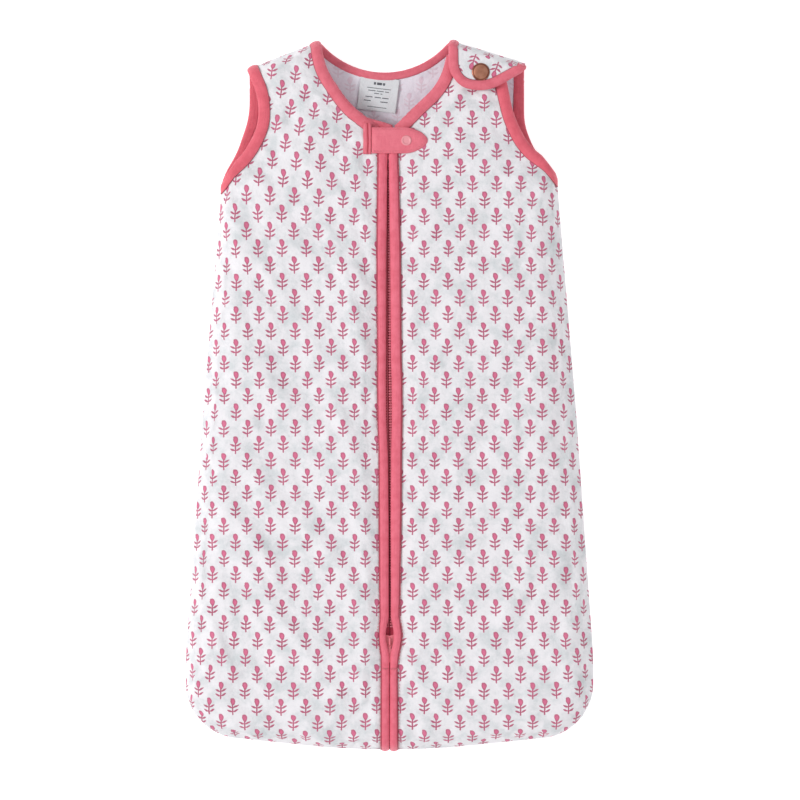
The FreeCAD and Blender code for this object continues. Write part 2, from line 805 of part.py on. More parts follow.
def snaps():
    guard = ("dims.guard_snap_x", "dims.guard_snap_y")
    guard_top = "dims.guard_base + dims.guard_thick"
    snap_cap(
        "guard_snap_cap", guard, "dims.guard_cap", "dims.guard_post", guard_top,
        "dims.guard_base + 1.0",
    )
    snap_socket(
        "guard_snap_socket", guard, "dims.guard_disc", "dims.guard_boss",
        "dims.guard_base - 0.85", "1.8", "1.25",
    )
    snap_stud(
        "guard_snap_stud", guard, "dims.guard_disc", "dims.guard_boss",
        "dims.front_top + 0.05", "0.7", "1.1",
    )
    snap_back(
        "guard_snap_back", guard, "dims.guard_disc", "dims.guard_post",
        "dims.front_top - dims.pile - 0.9", "0.85", "dims.front_top + 0.05",
    )
    shoulder = ("dims.shoulder_snap_x", "dims.shoulder_snap_y")
    snap_cap(
        "shoulder_snap_cap", shoulder, "dims.shoulder_cap", "dims.shoulder_post",
        "dims.flap_top", "34.0",
    )
    snap_socket(
        "shoulder_snap_socket", shoulder, "dims.shoulder_disc", "dims.shoulder_boss",
        "31.3", "2.7", "1.4",
    )
    snap_stud(
        "shoulder_snap_stud", shoulder, "dims.shoulder_disc", "dims.shoulder_boss",
        "dims.front_top + 0.05", "0.85", "1.2",
    )
    snap_back(
        "shoulder_snap_back", shoulder, "dims.shoulder_disc", "dims.shoulder_post",
        "dims.front_top - dims.pile - 0.9", "0.85", "dims.front_top + 0.05",
    )


def slider():
    """Zip slider: two plates with turned flanges, joined by the wedge, and a bridge on top."""
    half, length = "dims.slider_half", "dims.slider_length"
    low_y = f"dims.slider_y - {length} / 2"
    base, plate = "dims.slider_base", "dims.slider_plate"
    upper_z = f"{base} + dims.slider_high - {plate}"
    lower = block("lower_plate", f"-{half}", low_y, base, f"2 * {half}", length, plate)
    upper = block("upper_plate", f"-{half}", low_y, upper_z, f"2 * {half}", length, plate)
    flanges = []
    for number, (x, z) in enumerate(
        [
            (f"-{half}", f"{base} + {plate}"),
            (f"{half} - dims.slider_flange", f"{base} + {plate}"),
            (f"-{half}", f"{upper_z} - dims.slider_flange"),
            (f"{half} - dims.slider_flange", f"{upper_z} - dims.slider_flange"),
        ]
    ):
        flange_y = f"{low_y} + 1"
        flange_length = f"{length} - 4"
        flanges.append(
            block(
                f"flange_{number}", x, flange_y, z,
                "dims.slider_flange", flange_length, "dims.slider_flange",
            )
        )
    wedge = block(
        "wedge", "-dims.slider_wedge", f"dims.slider_y + {length} / 2 - 4", base,
        "2 * dims.slider_wedge", "4", "dims.slider_high",
    )
    top = f"{base} + dims.slider_high"
    arch = block(
        "arch", "-dims.bridge_half", "dims.slider_y - dims.bridge_length / 2", top,
        "2 * dims.bridge_half", "dims.bridge_length", "dims.bridge_high",
    )
    arch_hole = block(
        "arch_hole", "-dims.bridge_half - 1",
        "dims.slider_y - dims.bridge_length / 2 + dims.bridge_leg", top,
        "2 * dims.bridge_half + 2", "dims.bridge_length - 2 * dims.bridge_leg",
        "dims.bridge_high - 0.8",
    )
    bridge = cut_from("bridge", arch, arch_hole)
    return keep(
        fused("slider_body", lower, upper, *flanges, wedge, bridge), "slider_body"
    )


def pull():
    """Narrow pull: a flat tongue whose eye goes round the bridge, turning on its crossbar."""
    axis_z = "dims.slider_base + dims.slider_high + 0.85"
    low_z = f"{axis_z} - dims.pull_bar"
    tongue = block(
        "tongue", "-dims.pull_half", "dims.slider_y - dims.pull_length", low_z,
        "2 * dims.pull_half", "dims.pull_length", "2 * dims.pull_bar",
    )
    eye = block(
        "eye", "-dims.pull_half + dims.pull_arm",
        "dims.slider_y - dims.pull_eye", f"{low_z} - 1",
        "2 * dims.pull_half - 2 * dims.pull_arm", "dims.pull_eye + 1", "3",
    )
    arms = cut_from("arms", tongue, eye)
    bar = doc.addObject("Part::Cylinder", "crossbar")
    bar.Placement = Placement(Vector(), Rotation(Vector(0, 1, 0), 90))
    bound(
        bar,
        Radius="dims.pull_bar",
        Height="2 * dims.pull_half",
        Placement__Base__x="-dims.pull_half",
        Placement__Base__y="dims.slider_y",
        Placement__Base__z=axis_z,
    )
    return keep(fused("pull_tab", arms, bar), "pull_tab")


def small_blocks():
    """Stops at both ends of the zip."""
    stop = block(
        "bottom_stop", "-dims.coil_out", "dims.zip_foot_y - 4.5", "dims.coil_base - 0.3",
        "2 * dims.coil_out", "3.5", "dims.coil_height + 0.6",
    )
    keep(stop, "zip_bottom_stop")
    for side, x in (("left", "-dims.coil_out"), ("right", "dims.coil_in")):
        top_stop = block(
            f"{side}_stop", x, "dims.zip_top_y + 0.6", "dims.coil_base - 0.3",
            "dims.coil_out - dims.coil_in", "2.2", "dims.coil_height + 0.6",
        )
        keep(top_stop, f"{side}_top_stop")


def guard_tab():
    """The tab over the zip's upper end, and the strip that its root is sewn under."""
    root, tip = size["guard_root_x"], size["guard_tip_x"]
    low, high = size["guard_low_y"], size["guard_high_y"]
    middle = (low + high) / 2
    plan = rounded_face(
        [
            (root, low, 0),
            (tip - 17, low, 30),
            (tip - 5, low + 5, 14),
            (tip + 2.2, middle, 5),
            (tip - 5, high - 5, 14),
            (tip - 17, high, 30),
            (root, high, 0),
        ]
    )
    base = size["guard_base"]
    snap = (size["guard_snap_x"], size["guard_snap_y"])
    tab = prism(plan, base, base + size["guard_thick"])
    edges = [e for e in tab.Edges if e.BoundBox.ZLength < 1e-6 and e.CenterOfMass.x > root + 1]
    tab = tab.makeFillet(0.7, edges)
    tab = tab.cut(bore(*snap, size["guard_post"] + 0.3, 0, SKY))
    tab = tab.cut(bore(*snap, size["guard_disc"] + 0.3, 0, base + 1.1))
    keep_shape("guard_tab", tab)
    foot = size["front_top"] + 0.05
    top = base + 0.6
    strip = Part.makeBox(
        size["guard_strip"],
        high - low,
        top - foot,
        Vector(root - 0.6 - size["guard_strip"], low, foot),
    )
    strip = strip.makeFillet(0.6, [e for e in strip.Edges if e.BoundBox.ZMin > top - 0.1])
    lap = size["front_top"] + size["bind_ply"] + 2 * size["bind_ease"]
    strip = strip.cut(prism(grown(FRONT_NECK, size["bind_width"] + 0.1), 0, lap))
    keep_shape("guard_tab_strip", strip)


def label_and_seam():
    """The woven label on the back lining, and the overlocked seam inside the side seam."""
    tag = Part.makeBox(
        size["label_width"],
        size["label_length"],
        size["label_thick"],
        Vector(-size["label_width"] / 2, -size["label_length"] / 2, 0),
    )
    tag.rotate(Vector(0, 0, 0), Vector(0, 0, 1), size["label_turn"])
    tag.translate(Vector(size["label_x"], size["label_y"], size["pile"] + 0.1))
    keep_shape("neck_label", tag)
    inner = size["pile"] + 0.4
    ring = prism(grown(OUTLINE, -inner), SEAM + 0.1, SEAM + 0.1 + size["seam_thick"])
    ring = ring.cut(prism(grown(OUTLINE, -inner - size["seam_width"])))
    below = Part.makeBox(
        2 * FAR, FAR + size["underarm_y"] - 22, SKY, Vector(-FAR, -FAR, 0)
    )
    keep_shape("seam_allowance", ring.common(below))


# ----------------------------------------------------------------------- build

back_panels()
front_panels()
front_bindings()
back_bindings()
shoulder_flap()
zip_and_plackets()
snaps()
slider()
pull()
small_blocks()
guard_tab()
label_and_seam()
doc.recompute()

failed = [o.Label for o in doc.Objects if {"Invalid", "Error"} & set(o.State)]
if failed:
    raise RuntimeError(f"these objects failed: {failed}")
for piece in parts:
    shape = piece.Shape
    if shape.isNull() or not shape.isValid() or not shape.Solids:
        raise RuntimeError(f"{piece.Label} has no valid solid")

os.makedirs("parts", exist_ok=True)
whole = FreeCAD.BoundBox()
for piece in parts:
    shape = piece.Shape
    shape.exportStep(os.path.join("parts", piece.Label + ".step"))
    whole.add(shape.BoundBox)
    print(f"{piece.Label:32s} {len(shape.Solids)} solids {shape.Volume:12.1f} mm3")
print(len(parts), "parts, box", whole)
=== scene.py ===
"""Baby sleeping bag: the cloth, bindings, zip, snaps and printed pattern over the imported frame.

Plan shapes are in millimetres in the row frame, as seen from above, and meshes are in metres.
A panel is drawn flat, as cloth is cut, and then wrapped over the bag's edge.
"""

import bmesh
import bpy
import math
import numpy as np
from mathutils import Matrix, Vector
from mathutils.geometry import delaunay_2d_cdt


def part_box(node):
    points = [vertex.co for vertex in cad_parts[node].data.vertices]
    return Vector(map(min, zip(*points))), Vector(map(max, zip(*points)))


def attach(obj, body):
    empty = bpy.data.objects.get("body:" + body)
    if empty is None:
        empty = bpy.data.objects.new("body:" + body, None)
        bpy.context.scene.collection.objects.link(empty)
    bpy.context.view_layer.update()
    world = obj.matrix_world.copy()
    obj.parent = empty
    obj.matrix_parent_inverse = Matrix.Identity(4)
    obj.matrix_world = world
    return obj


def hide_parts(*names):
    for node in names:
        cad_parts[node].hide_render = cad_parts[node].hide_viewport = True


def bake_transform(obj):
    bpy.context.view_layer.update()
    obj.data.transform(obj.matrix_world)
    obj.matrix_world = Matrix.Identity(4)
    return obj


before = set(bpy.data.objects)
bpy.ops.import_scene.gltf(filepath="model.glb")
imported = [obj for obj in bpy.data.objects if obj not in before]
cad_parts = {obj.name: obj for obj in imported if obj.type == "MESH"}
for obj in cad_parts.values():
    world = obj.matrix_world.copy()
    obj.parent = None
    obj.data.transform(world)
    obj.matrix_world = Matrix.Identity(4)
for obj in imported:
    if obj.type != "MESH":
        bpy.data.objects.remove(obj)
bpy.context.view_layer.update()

MM = 0.001
FAR = 420.0

# heights
FLOOR_SIDE = 0.5  # underside of the back
BACK_SEAM = 6.0
FRONT_SEAM = 6.6
FRONT_TOP = 30.0
FLAP_TOP = 36.6
PANEL = 5.6  # thickness of the padded cloth
BOUND = 3.4  # and where a binding grips it
SEAM_INSET = 0.2

# sewing
CUT_BACK = 1.4  # from a bound edge to the cloth's own edge, inside the binding
EDGE_STEP = 1.8  # between the rings of a binding
STITCH_PITCH = 3.1
STITCH_LENGTH = 2.2
THREAD_RADIUS = 0.3
LINING_SHIFT = (7.0, 11.0)  # of the print on the inner face
BAR_TACK = -262.0  # where the strips are sewn across, below the slider
STRIP_FOOT, STRIP_HEAD = -361.0, 256.5

# zip
SLIDER_Y = -236.0
TAPE_LOW, TAPE_TOP = 26.0, 26.6
COIL_Z = 27.15

# settling of the fronts
SETTLE_FRAMES = 22
FULLNESS = 0.022  # how much longer the cloth is than its place
PUFF = 2.2  # upward pull, m/s2

# the bag's outline in plan: x, y, corner radius
RIGHT_SIDE = [(197.2, -252.0, 300), (180.4, -12.0, 900), (162.0, 209.4, 200)]
LEFT_SIDE = [(-x, y, radius) for x, y, radius in reversed(RIGHT_SIDE)]
OUTLINE_CORNERS = (
    [(0, -346.4, 800), (197.6, -326.0, 54)]
    + RIGHT_SIDE
    + [(150.6, 315.4, 24), (-12.0, 364.6, 180), (-156.8, 307.8, 24)]
    + LEFT_SIDE
    + [(-197.6, -326.0, 54)]
)
FRONT_NECK_CORNERS = [
    (-97, 420, 0), (-66.6, 340, 20), (-61.5, 314, 60), (-39, 280, 80), (-9, 257, 0),
    (3.5, 257, 0), (26, 279, 90), (49, 300.5, 60), (57.5, 336, 20), (83, 420, 0),
]
FRONT_ARM_LEFT_CORNERS = [
    (-FAR, FAR, 0), (-FAR, 206, 0), (-169, 206, 0), (-140, 232, 60), (-125.5, 259, 50),
    (-125.5, 286, 60), (-145, 334, 0), (-145, FAR, 0),
]
FRONT_ARM_RIGHT_CORNERS = [
    (111, FAR, 0), (111, 308, 0), (118.5, 270, 100), (133, 240, 60), (170, 213, 0), (FAR, 213, 0),
    (FAR, FAR, 0),
]
BACK_ARM_LEFT_CORNERS = [
    (-FAR, FAR, 0), (-FAR, 202, 0), (-166, 202, 0), (-147, 235, 90), (-135, 270, 80),
    (-135, 312, 20), (-178, FAR, 0),
]
BACK_ARM_RIGHT_CORNERS = [
    (160, FAR, 0), (129.8, 318, 20), (129.8, 262, 60), (141, 234, 60), (170, 208, 0),
    (FAR, 208, 0), (FAR, FAR, 0),
]
FLAP_CORNERS = [
    (82, FAR, 0), (57.0, 337, 16), (57.0, 311, 22), (69, 294.5, 22), (95, 291.5, 40),
    (129.8, 311.5, 0), (162.5, FAR, 0),
]
BACK_NECK_CENTRE = (-5.0, 393.2)
BACK_NECK_RADIUS = 81.0
SHOULDER_LINE = ((-12.0, 360.4), (150.0, 311.5))
STRAP_INSET = 13.4

# ------------------------------------------------------------------ small maths


def smooth(value, low, high):
    """Smooth step from 0 at low to 1 at high."""
    t = np.clip((np.asarray(value, float) - low) / (high - low), 0, 1)
    return t * t * (3 - 2 * t)


def unit(v):
    """Vectors of length one."""
    return v / np.maximum(np.linalg.norm(v, axis=-1, keepdims=True), 1e-12)


def rounded(corners, step=2.5):
    """Points of straight runs joined by tangent arcs, corner by corner, as a closed loop."""
    points = []
    for i, (x, y, radius) in enumerate(corners):
        here = np.array([x, y], float)
        if radius == 0:
            points.append(here)
            continue
        back = unit(np.array(corners[i - 1][:2], float) - here)
        onward = unit(np.array(corners[(i + 1) % len(corners)][:2], float) - here)
        half = math.acos(float(np.clip(back @ onward, -1, 1))) / 2
        centre = here + unit(back + onward) * radius / math.sin(half)
        start = here + back * radius / math.tan(half) - centre
        turn = math.pi - 2 * half
        if back[0] * onward[1] - back[1] * onward[0] > 0:
            turn = -turn
        count = max(2, int(abs(turn) * radius / step))
        for k in range(count + 1):
            a = turn * k / count
            c, s = math.cos(a), math.sin(a)
            points.append(centre + (start[0] * c - start[1] * s, start[0] * s + start[1] * c))
    return np.array(points)


def lengths(points):
    """Distance along a line to each of its points."""
    return np.concatenate([[0], np.cumsum(np.linalg.norm(np.diff(points, axis=0), axis=1))])


def resampled(points, step):
    """The same open line with evenly spaced points."""
    along = lengths(points)
    count = max(2, int(round(along[-1] / step)) + 1)
    at = np.linspace(0, along[-1], count)
    return np.stack([np.interp(at, along, points[:, k]) for k in range(points.shape[1])], 1)


def closed(points):
    """A loop with its first point again at the end."""
    return np.vstack([points, points[:1]])


def closest(where, points):
    """Index of the point nearest to each place, and how far away it is."""
    index = np.empty(len(where), int)
    gap = np.empty(len(where))
    square = np.sum(points * points, 1)
    for low in range(0, len(where), 4000):
        p = where[low : low + 4000]
        score = square - 2 * (p @ points.T)
        k = np.argmin(score, 1)
        index[low : low + 4000] = k
        gap[low : low + 4000] = np.linalg.norm(p - points[k], axis=1)
    return index, gap


class Loop:
    """A closed plan line, anticlockwise, that answers which points are inside and how far in."""

    def __init__(self, points, step=2.5):
        ring = resampled(closed(points), step)[:-1]
        area = np.sum(ring[:, 0] * np.roll(ring[:, 1], -1) - np.roll(ring[:, 0], -1) * ring[:, 1])
        self.points = ring if area > 0 else ring[::-1].copy()
        tangent = unit(np.roll(self.points, -1, 0) - np.roll(self.points, 1, 0))
        self.inward = np.stack([-tangent[:, 1], tangent[:, 0]], 1)

    def nearest(self, where):
        """Depth inside the loop (negative outside), the foot on the loop, the inward normal."""
        vertex = closest(where, self.points)[0]
        best = np.full(len(where), np.inf)
        foot = np.empty((len(where), 2))
        normal = np.empty((len(where), 2))
        for k in ((vertex - 1) % len(self.points), vertex):
            after = (k + 1) % len(self.points)
            start, run = self.points[k], self.points[after] - self.points[k]
            t = np.clip(np.sum((where - start) * run, 1) / np.sum(run * run, 1), 0, 1)[:, None]
            f = start + t * run
            gap = np.linalg.norm(where - f, axis=1)
            nearer = gap < best
            best[nearer] = gap[nearer]
            foot[nearer] = f[nearer]
            normal[nearer] = unit(self.inward[k] * (1 - t) + self.inward[after] * t)[nearer]
        depth = best * np.sign(np.sum((where - foot) * normal, 1))
        return depth, foot, normal

    def inside(self, where):
        """Which points are inside, by crossings of the loop."""
        x, y = where[:, 0][:, None], where[:, 1][:, None]
        a, b = self.points, np.roll(self.points, -1, 0)
        spans = (a[:, 1] > y) != (b[:, 1] > y)
        slope = (b[:, 0] - a[:, 0]) / np.where(b[:, 1] == a[:, 1], 1e-12, b[:, 1] - a[:, 1])
        return (np.sum(spans & (x < a[:, 0] + slope * (y - a[:, 1])), 1) % 2) == 1


def noise(seed, where, size):
    """Smooth value noise of unit amplitude over plan points, with features of this size."""
    rng = np.random.default_rng(seed)
    grid = rng.uniform(-1, 1, (64, 64))
    g = np.asarray(where, float) / size + 32
    i = np.floor(g).astype(int)
    f = g - i
    f = f * f * (3 - 2 * f)
    i %= 63
    a = grid[i[:, 0], i[:, 1]] * (1 - f[:, 0]) + grid[i[:, 0] + 1, i[:, 1]] * f[:, 0]
    b = grid[i[:, 0], i[:, 1] + 1] * (1 - f[:, 0]) + grid[i[:, 0] + 1, i[:, 1] + 1] * f[:, 0]
    return a * (1 - f[:, 1]) + b * f[:, 1]


def ripple(seed, along, size):
    """The same noise along a line."""
    return noise(seed, np.column_stack([along, along * 0]), size)


# ------------------------------------------------------------- plan loops, zip line

OUTLINE = Loop(rounded(OUTLINE_CORNERS))
FRONT_NECK = Loop(rounded(FRONT_NECK_CORNERS))
FRONT_ARM_LEFT = Loop(rounded(FRONT_ARM_LEFT_CORNERS))
FRONT_ARM_RIGHT = Loop(rounded(FRONT_ARM_RIGHT_CORNERS))
BACK_ARM_LEFT = Loop(rounded(BACK_ARM_LEFT_CORNERS))
BACK_ARM_RIGHT = Loop(rounded(BACK_ARM_RIGHT_CORNERS))
FLAP = Loop(rounded(FLAP_CORNERS))
TURNS = np.linspace(0, 2 * math.pi, 200, endpoint=False)
BACK_NECK = Loop(
    np.array(BACK_NECK_CENTRE)
    + BACK_NECK_RADIUS * np.stack([np.cos(TURNS), np.sin(TURNS)], 1)
)


# y, then the zip's middle, half the gap between the strips, and each strip's width
ZIP_ROWS = np.array(
    [
        (-345, 0.0, 0.2, 8.5, 8.4),
        (-262, 0.2, 0.2, 8.4, 7.6),
        (-249, 0.3, 0.3, 8.7, 8.8),
        (-242, 0.2, 1.9, 7.9, 8.8),
        (-235, 0.2, 3.7, 6.9, 8.2),
        (-226, 0.2, 3.7, 6.9, 8.2),
        (-219, 0.3, 2.2, 8.0, 8.4),
        (-212, 0.3, 0.9, 9.0, 8.6),
        (-187, 0.3, 1.1, 9.2, 9.0),
        (-119, 0.1, 0.9, 9.8, 10.8),
        (-59, -0.1, 1.5, 9.0, 10.7),
        (-23, -0.5, 2.6, 8.6, 10.6),
        (15, -0.8, 2.8, 8.5, 10.6),
        (33, -1.0, 2.3, 8.6, 10.6),
        (137, -1.3, 1.9, 9.5, 10.5),
        (229, -1.4, 0.5, 9.9, 9.7),
        (262, -1.4, 0.5, 9.9, 9.7),
    ]
)


def zip_line(y):
    """The zip's line wanders a little as the bag lies."""
    return np.interp(y, ZIP_ROWS[:, 0], ZIP_ROWS[:, 1])


def strip_edge(side, y, outer):
    """X of a placket's inner or outer edge: the strips part round the slider and above it."""
    sign, column = (-1, 3) if side == "left" else (1, 4)
    gap = np.interp(y, ZIP_ROWS[:, 0], ZIP_ROWS[:, 2])
    width = np.interp(y, ZIP_ROWS[:, 0], ZIP_ROWS[:, column])
    return zip_line(y) + sign * (gap + (width if outer else 0))


# --------------------------------------------------------------- wrapping the cloth


class Skin:
    """A face of the bag: takes flat cloth to its place, over the rounded edge to the seam."""

    def __init__(self, seam, top, reach, shoulder_reach, dips=(), dip=0.0, wave=0.0):
        self.seam, self.top = seam, top
        self.reach, self.shoulder_reach = reach, shoulder_reach
        self.dips, self.dip, self.wave = dips, dip, wave

    def rim(self, foot):
        """How far in the edge's rounding reaches, and the length of cloth over it."""
        mix = smooth(foot[:, 1], 225, 305)
        reach = self.reach * (1 - mix) + self.shoulder_reach * mix
        rise = abs(self.top - self.seam)
        root = np.sqrt((3 * reach + rise) * (reach + 3 * rise))
        return reach, math.pi / 4 * (3 * (reach + rise) - root)

    def seam_loop(self):
        """The seam on the flat cloth."""
        reach, arc = self.rim(OUTLINE.points)
        out = (arc - reach - SEAM_INSET)[:, None]
        return OUTLINE.points - OUTLINE.inward * out

    def place(self, flat):
        """Position on the skin of points of the flat cloth, in millimetres."""
        flat = np.asarray(flat, float)
        depth, foot, normal = OUTLINE.nearest(flat)
        reach, arc = self.rim(foot)
        down = depth + arc - reach - SEAM_INSET
        turn = np.clip(down / arc, -0.2, 1) * math.pi / 2
        inset = SEAM_INSET + reach * (1 - np.cos(turn)) + np.maximum(down - arc, 0)
        plan = foot + normal * inset[:, None]
        level = self.top - self.seam
        z = self.seam + level * np.sin(turn)
        if self.dips:
            gap = np.min([-loop.nearest(flat)[0] for loop in self.dips], axis=0)
            z = z - np.sign(level) * self.dip * (1 - smooth(gap, 9, 24)) * np.sin(turn)
        if self.wave:
            swell = 0.6 * noise(3, flat, 95) + 0.4 * noise(4, flat, 41) - 0.5
            swell = swell * smooth(np.abs(flat[:, 0]), 10, 46)
            z = z + self.wave * swell * np.sin(np.clip(turn, 0, 2)) ** 2
        return np.column_stack([plan, z])

    def normal(self, flat):
        """Outward direction of the skin at points of the flat cloth."""
        flat = np.asarray(flat, float)
        d = 0.6
        x = self.place(flat + (d, 0)) - self.place(flat - (d, 0))
        y = self.place(flat + (0, d)) - self.place(flat - (0, d))
        out = unit(np.cross(x, y))
        return out if self.top > self.seam else -out

    def lift(self, flat, height):
        """Points this far outside the skin, or inside it where height is negative."""
        return self.place(flat) + self.normal(flat) * np.asarray(height, float)[:, None]


FRONT = Skin(
    FRONT_SEAM,
    FRONT_TOP,
    13.0,
    11.0,
    dips=(FRONT_NECK, FRONT_ARM_LEFT, FRONT_ARM_RIGHT),
    dip=1.5,
    wave=1.6,
)
BACK = Skin(
    BACK_SEAM,
    FLOOR_SIDE,
    8.0,
    8.0,
    dips=(BACK_NECK, BACK_ARM_LEFT, BACK_ARM_RIGHT),
    dip=1.3,
)
TURNED = Skin(FRONT_SEAM, FLAP_TOP, 9.0, 9.0)


# -------------------------------------------------------------------- mesh building


def mesh_object(name, points, faces, uv, materials=(), face_slots=None):
    """A smooth mesh from points in millimetres; uv is one pair for each point."""
    mesh = bpy.data.meshes.new(name)
    mesh.from_pydata((np.asarray(points) * MM).tolist(), [], [list(map(int, f)) for f in faces])
    mesh.update()
    layer = mesh.uv_layers.new(name="cloth")
    corner = np.empty(len(mesh.loops), np.int32)
    mesh.loops.foreach_get("vertex_index", corner)
    layer.data.foreach_set("uv", np.asarray(uv, np.float32)[corner].ravel())
    if face_slots is not None:
        mesh.polygons.foreach_set("material_index", np.asarray(face_slots, np.int32))
    for material in materials:
        mesh.materials.append(material)
    mesh.polygons.foreach_set("use_smooth", np.ones(len(mesh.polygons), bool))
    obj = bpy.data.objects.new(name, mesh)
    bpy.context.scene.collection.objects.link(obj)
    return obj


def lattice(low, high, pitch):
    """Points of a triangular grid over a box."""
    rows = np.arange(low[1], high[1], pitch * math.sqrt(3) / 2)
    points = []
    for i, y in enumerate(rows):
        xs = np.arange(low[0] + (i % 2) * pitch / 2, high[0], pitch)
        points.append(np.column_stack([xs, np.full(len(xs), y)]))
    return np.vstack(points)


def cut_cloth(lines, keep, pitch=4.0):
    """Triangles covering the plan region where keep() holds, with edges along the lines."""
    spans = np.vstack(lines)
    fill = lattice(spans.min(0), spans.max(0), pitch)
    fill = fill[keep(fill)]
    fill = fill[closest(fill, spans)[1] > pitch * 0.55]
    points, edges = [], []
    for line in lines:
        first = len(points)
        points += line.tolist()
        edges += [(first + i, first + i + 1) for i in range(len(line) - 1)]
    points += fill.tolist()
    found = delaunay_2d_cdt([Vector(p) for p in points], edges, [], 0, 1e-3)
    flat = np.array([tuple(v) for v in found[0]])
    faces = np.array([f for f in found[2] if len(f) == 3])
    faces = faces[keep(flat[faces].mean(1))]
    used = np.unique(faces)
    renumber = np.full(len(flat), -1)
    renumber[used] = np.arange(len(used))
    return flat[used], renumber[faces]


def rim_edges(faces):
    """The open edges of a triangle sheet, each in the direction its face runs."""
    directed = np.vstack([faces[:, [0, 1]], faces[:, [1, 2]], faces[:, [2, 0]]])
    keys = np.sort(directed, 1)
    _, index, count = np.unique(keys, axis=0, return_index=True, return_counts=True)
    return directed[index[count == 1]]


def quilted(name, flat, faces, outer, inner, uv, materials, shift_uv):
    """A closed padded panel from its outer and inner faces, joined round the cut edge."""
    n = len(flat)
    rim = rim_edges(faces)
    walls = np.column_stack([rim[:, 1], rim[:, 0], rim[:, 0] + n, rim[:, 1] + n])
    all_faces = [tuple(f) for f in faces]
    all_faces += [tuple(f[::-1] + n) for f in faces]
    all_faces += [tuple(f) for f in walls]
    slots = [0] * len(faces) + [1] * (len(faces) + len(walls))
    uvs = np.vstack([uv, uv + shift_uv])
    return mesh_object(name, np.vstack([outer, inner]), all_faces, uvs, materials, slots)


# ------------------------------------------------------------------------- materials


class Nodes:
    """Short way to write a node tree: values, sockets and maths in one line each."""

    def __init__(self, tree):
        self.tree = tree

    def new(self, kind, **values):
        node = self.tree.nodes.new(kind)
        for key, value in values.items():
            setattr(node, key, value)
        return node

    def put(self, value, socket):
        if isinstance(value, bpy.types.NodeSocket):
            self.tree.links.new(value, socket)
        else:
            socket.default_value = value

    def maths(self, operation, a, b=0.0, c=None):
        node = self.new("ShaderNodeMath", operation=operation)
        self.put(a, node.inputs[0])
        self.put(b, node.inputs[1])
        if c is not None:
            self.put(c, node.inputs[2])
        return node.outputs[0]

    def length(self, a, b):
        square = self.maths("MULTIPLY_ADD", a, a, self.maths("MULTIPLY", b, b))
        return self.maths("SQRT", square)

    def ramp(self, value, low, high, out_low=0.0, out_high=1.0):
        """Smooth step of a value between two levels."""
        node = self.new("ShaderNodeMapRange", interpolation_type="SMOOTHSTEP")
        for socket, v in zip(node.inputs, (value, low, high, out_low, out_high)):
            self.put(v, socket)
        return node.outputs[0]

    def mix(self, factor, a, b):
        node = self.new("ShaderNodeMix", data_type="RGBA")
        self.put(factor, node.inputs[0])
        self.put(a, node.inputs[6])
        self.put(b, node.inputs[7])
        return node.outputs[2]

    def noise(self, vector, scale, detail=2.0, rough=0.5):
        node = self.new("ShaderNodeTexNoise")
        self.put(vector, node.inputs["Vector"])
        node.inputs["Scale"].default_value = scale
        node.inputs["Detail"].default_value = detail
        node.inputs["Roughness"].default_value = rough
        return node.outputs["Fac"]

    def stretch(self, vector, x, y, z=1.0):
        node = self.new("ShaderNodeMapping")
        self.put(vector, node.inputs["Vector"])
        node.inputs["Scale"].default_value = (x, y, z)
        return node.outputs[0]


def rgb(r, g, b):
    """Linear colour of an sRGB one given in 0 to 255."""
    out = []
    for c in (r, g, b):
        c /= 255
        out.append(c / 12.92 if c <= 0.04045 else ((c + 0.055) / 1.055) ** 2.4)
    return (*out, 1.0)


def material(name):
    """A new material with its nodes and its shader."""
    made = bpy.data.materials.new(name)
    made.use_nodes = True
    tree = made.node_tree
    tree.nodes.clear()
    nodes = Nodes(tree)
    shader = nodes.new("ShaderNodeBsdfPrincipled")
    out = nodes.new("ShaderNodeOutputMaterial")
    tree.links.new(shader.outputs[0], out.inputs[0])
    return made, nodes, shader


def bump(nodes, shader, height, distance):
    """Relief from a height of 0 to 1; the distance is in metres."""
    node = nodes.new("ShaderNodeBump")
    nodes.put(height, node.inputs["Height"])
    node.inputs["Distance"].default_value = distance
    node.inputs["Strength"].default_value = 1.0
    nodes.tree.links.new(node.outputs[0], shader.inputs["Normal"])


def cloth_uv(nodes):
    """Position on the flat cloth, in millimetres."""
    return nodes.new("ShaderNodeUVMap", uv_map="cloth").outputs[0]


def weave(nodes, uv, pitch):
    """Height of a plain knit or weave with this pitch in millimetres, from 0 to 1."""
    parts = nodes.new("ShaderNodeSeparateXYZ")
    nodes.put(uv, parts.inputs[0])
    warp = nodes.maths("SINE", nodes.maths("MULTIPLY", parts.outputs[0], 2 * math.pi / pitch))
    weft = nodes.maths("SINE", nodes.maths("MULTIPLY", parts.outputs[1], 2 * math.pi / pitch))
    return nodes.maths("MULTIPLY_ADD", nodes.maths("MULTIPLY", warp, weft), 0.5, 0.5)


# the sprig, in millimetres from its middle: a bud on a stem with two pairs of leaves
REPEAT_X, REPEAT_Y = 22.9, 31.2
LEAVES = [(-0.9, 5.4), (-5.1, 5.1)]  # foot of the pair and half its width


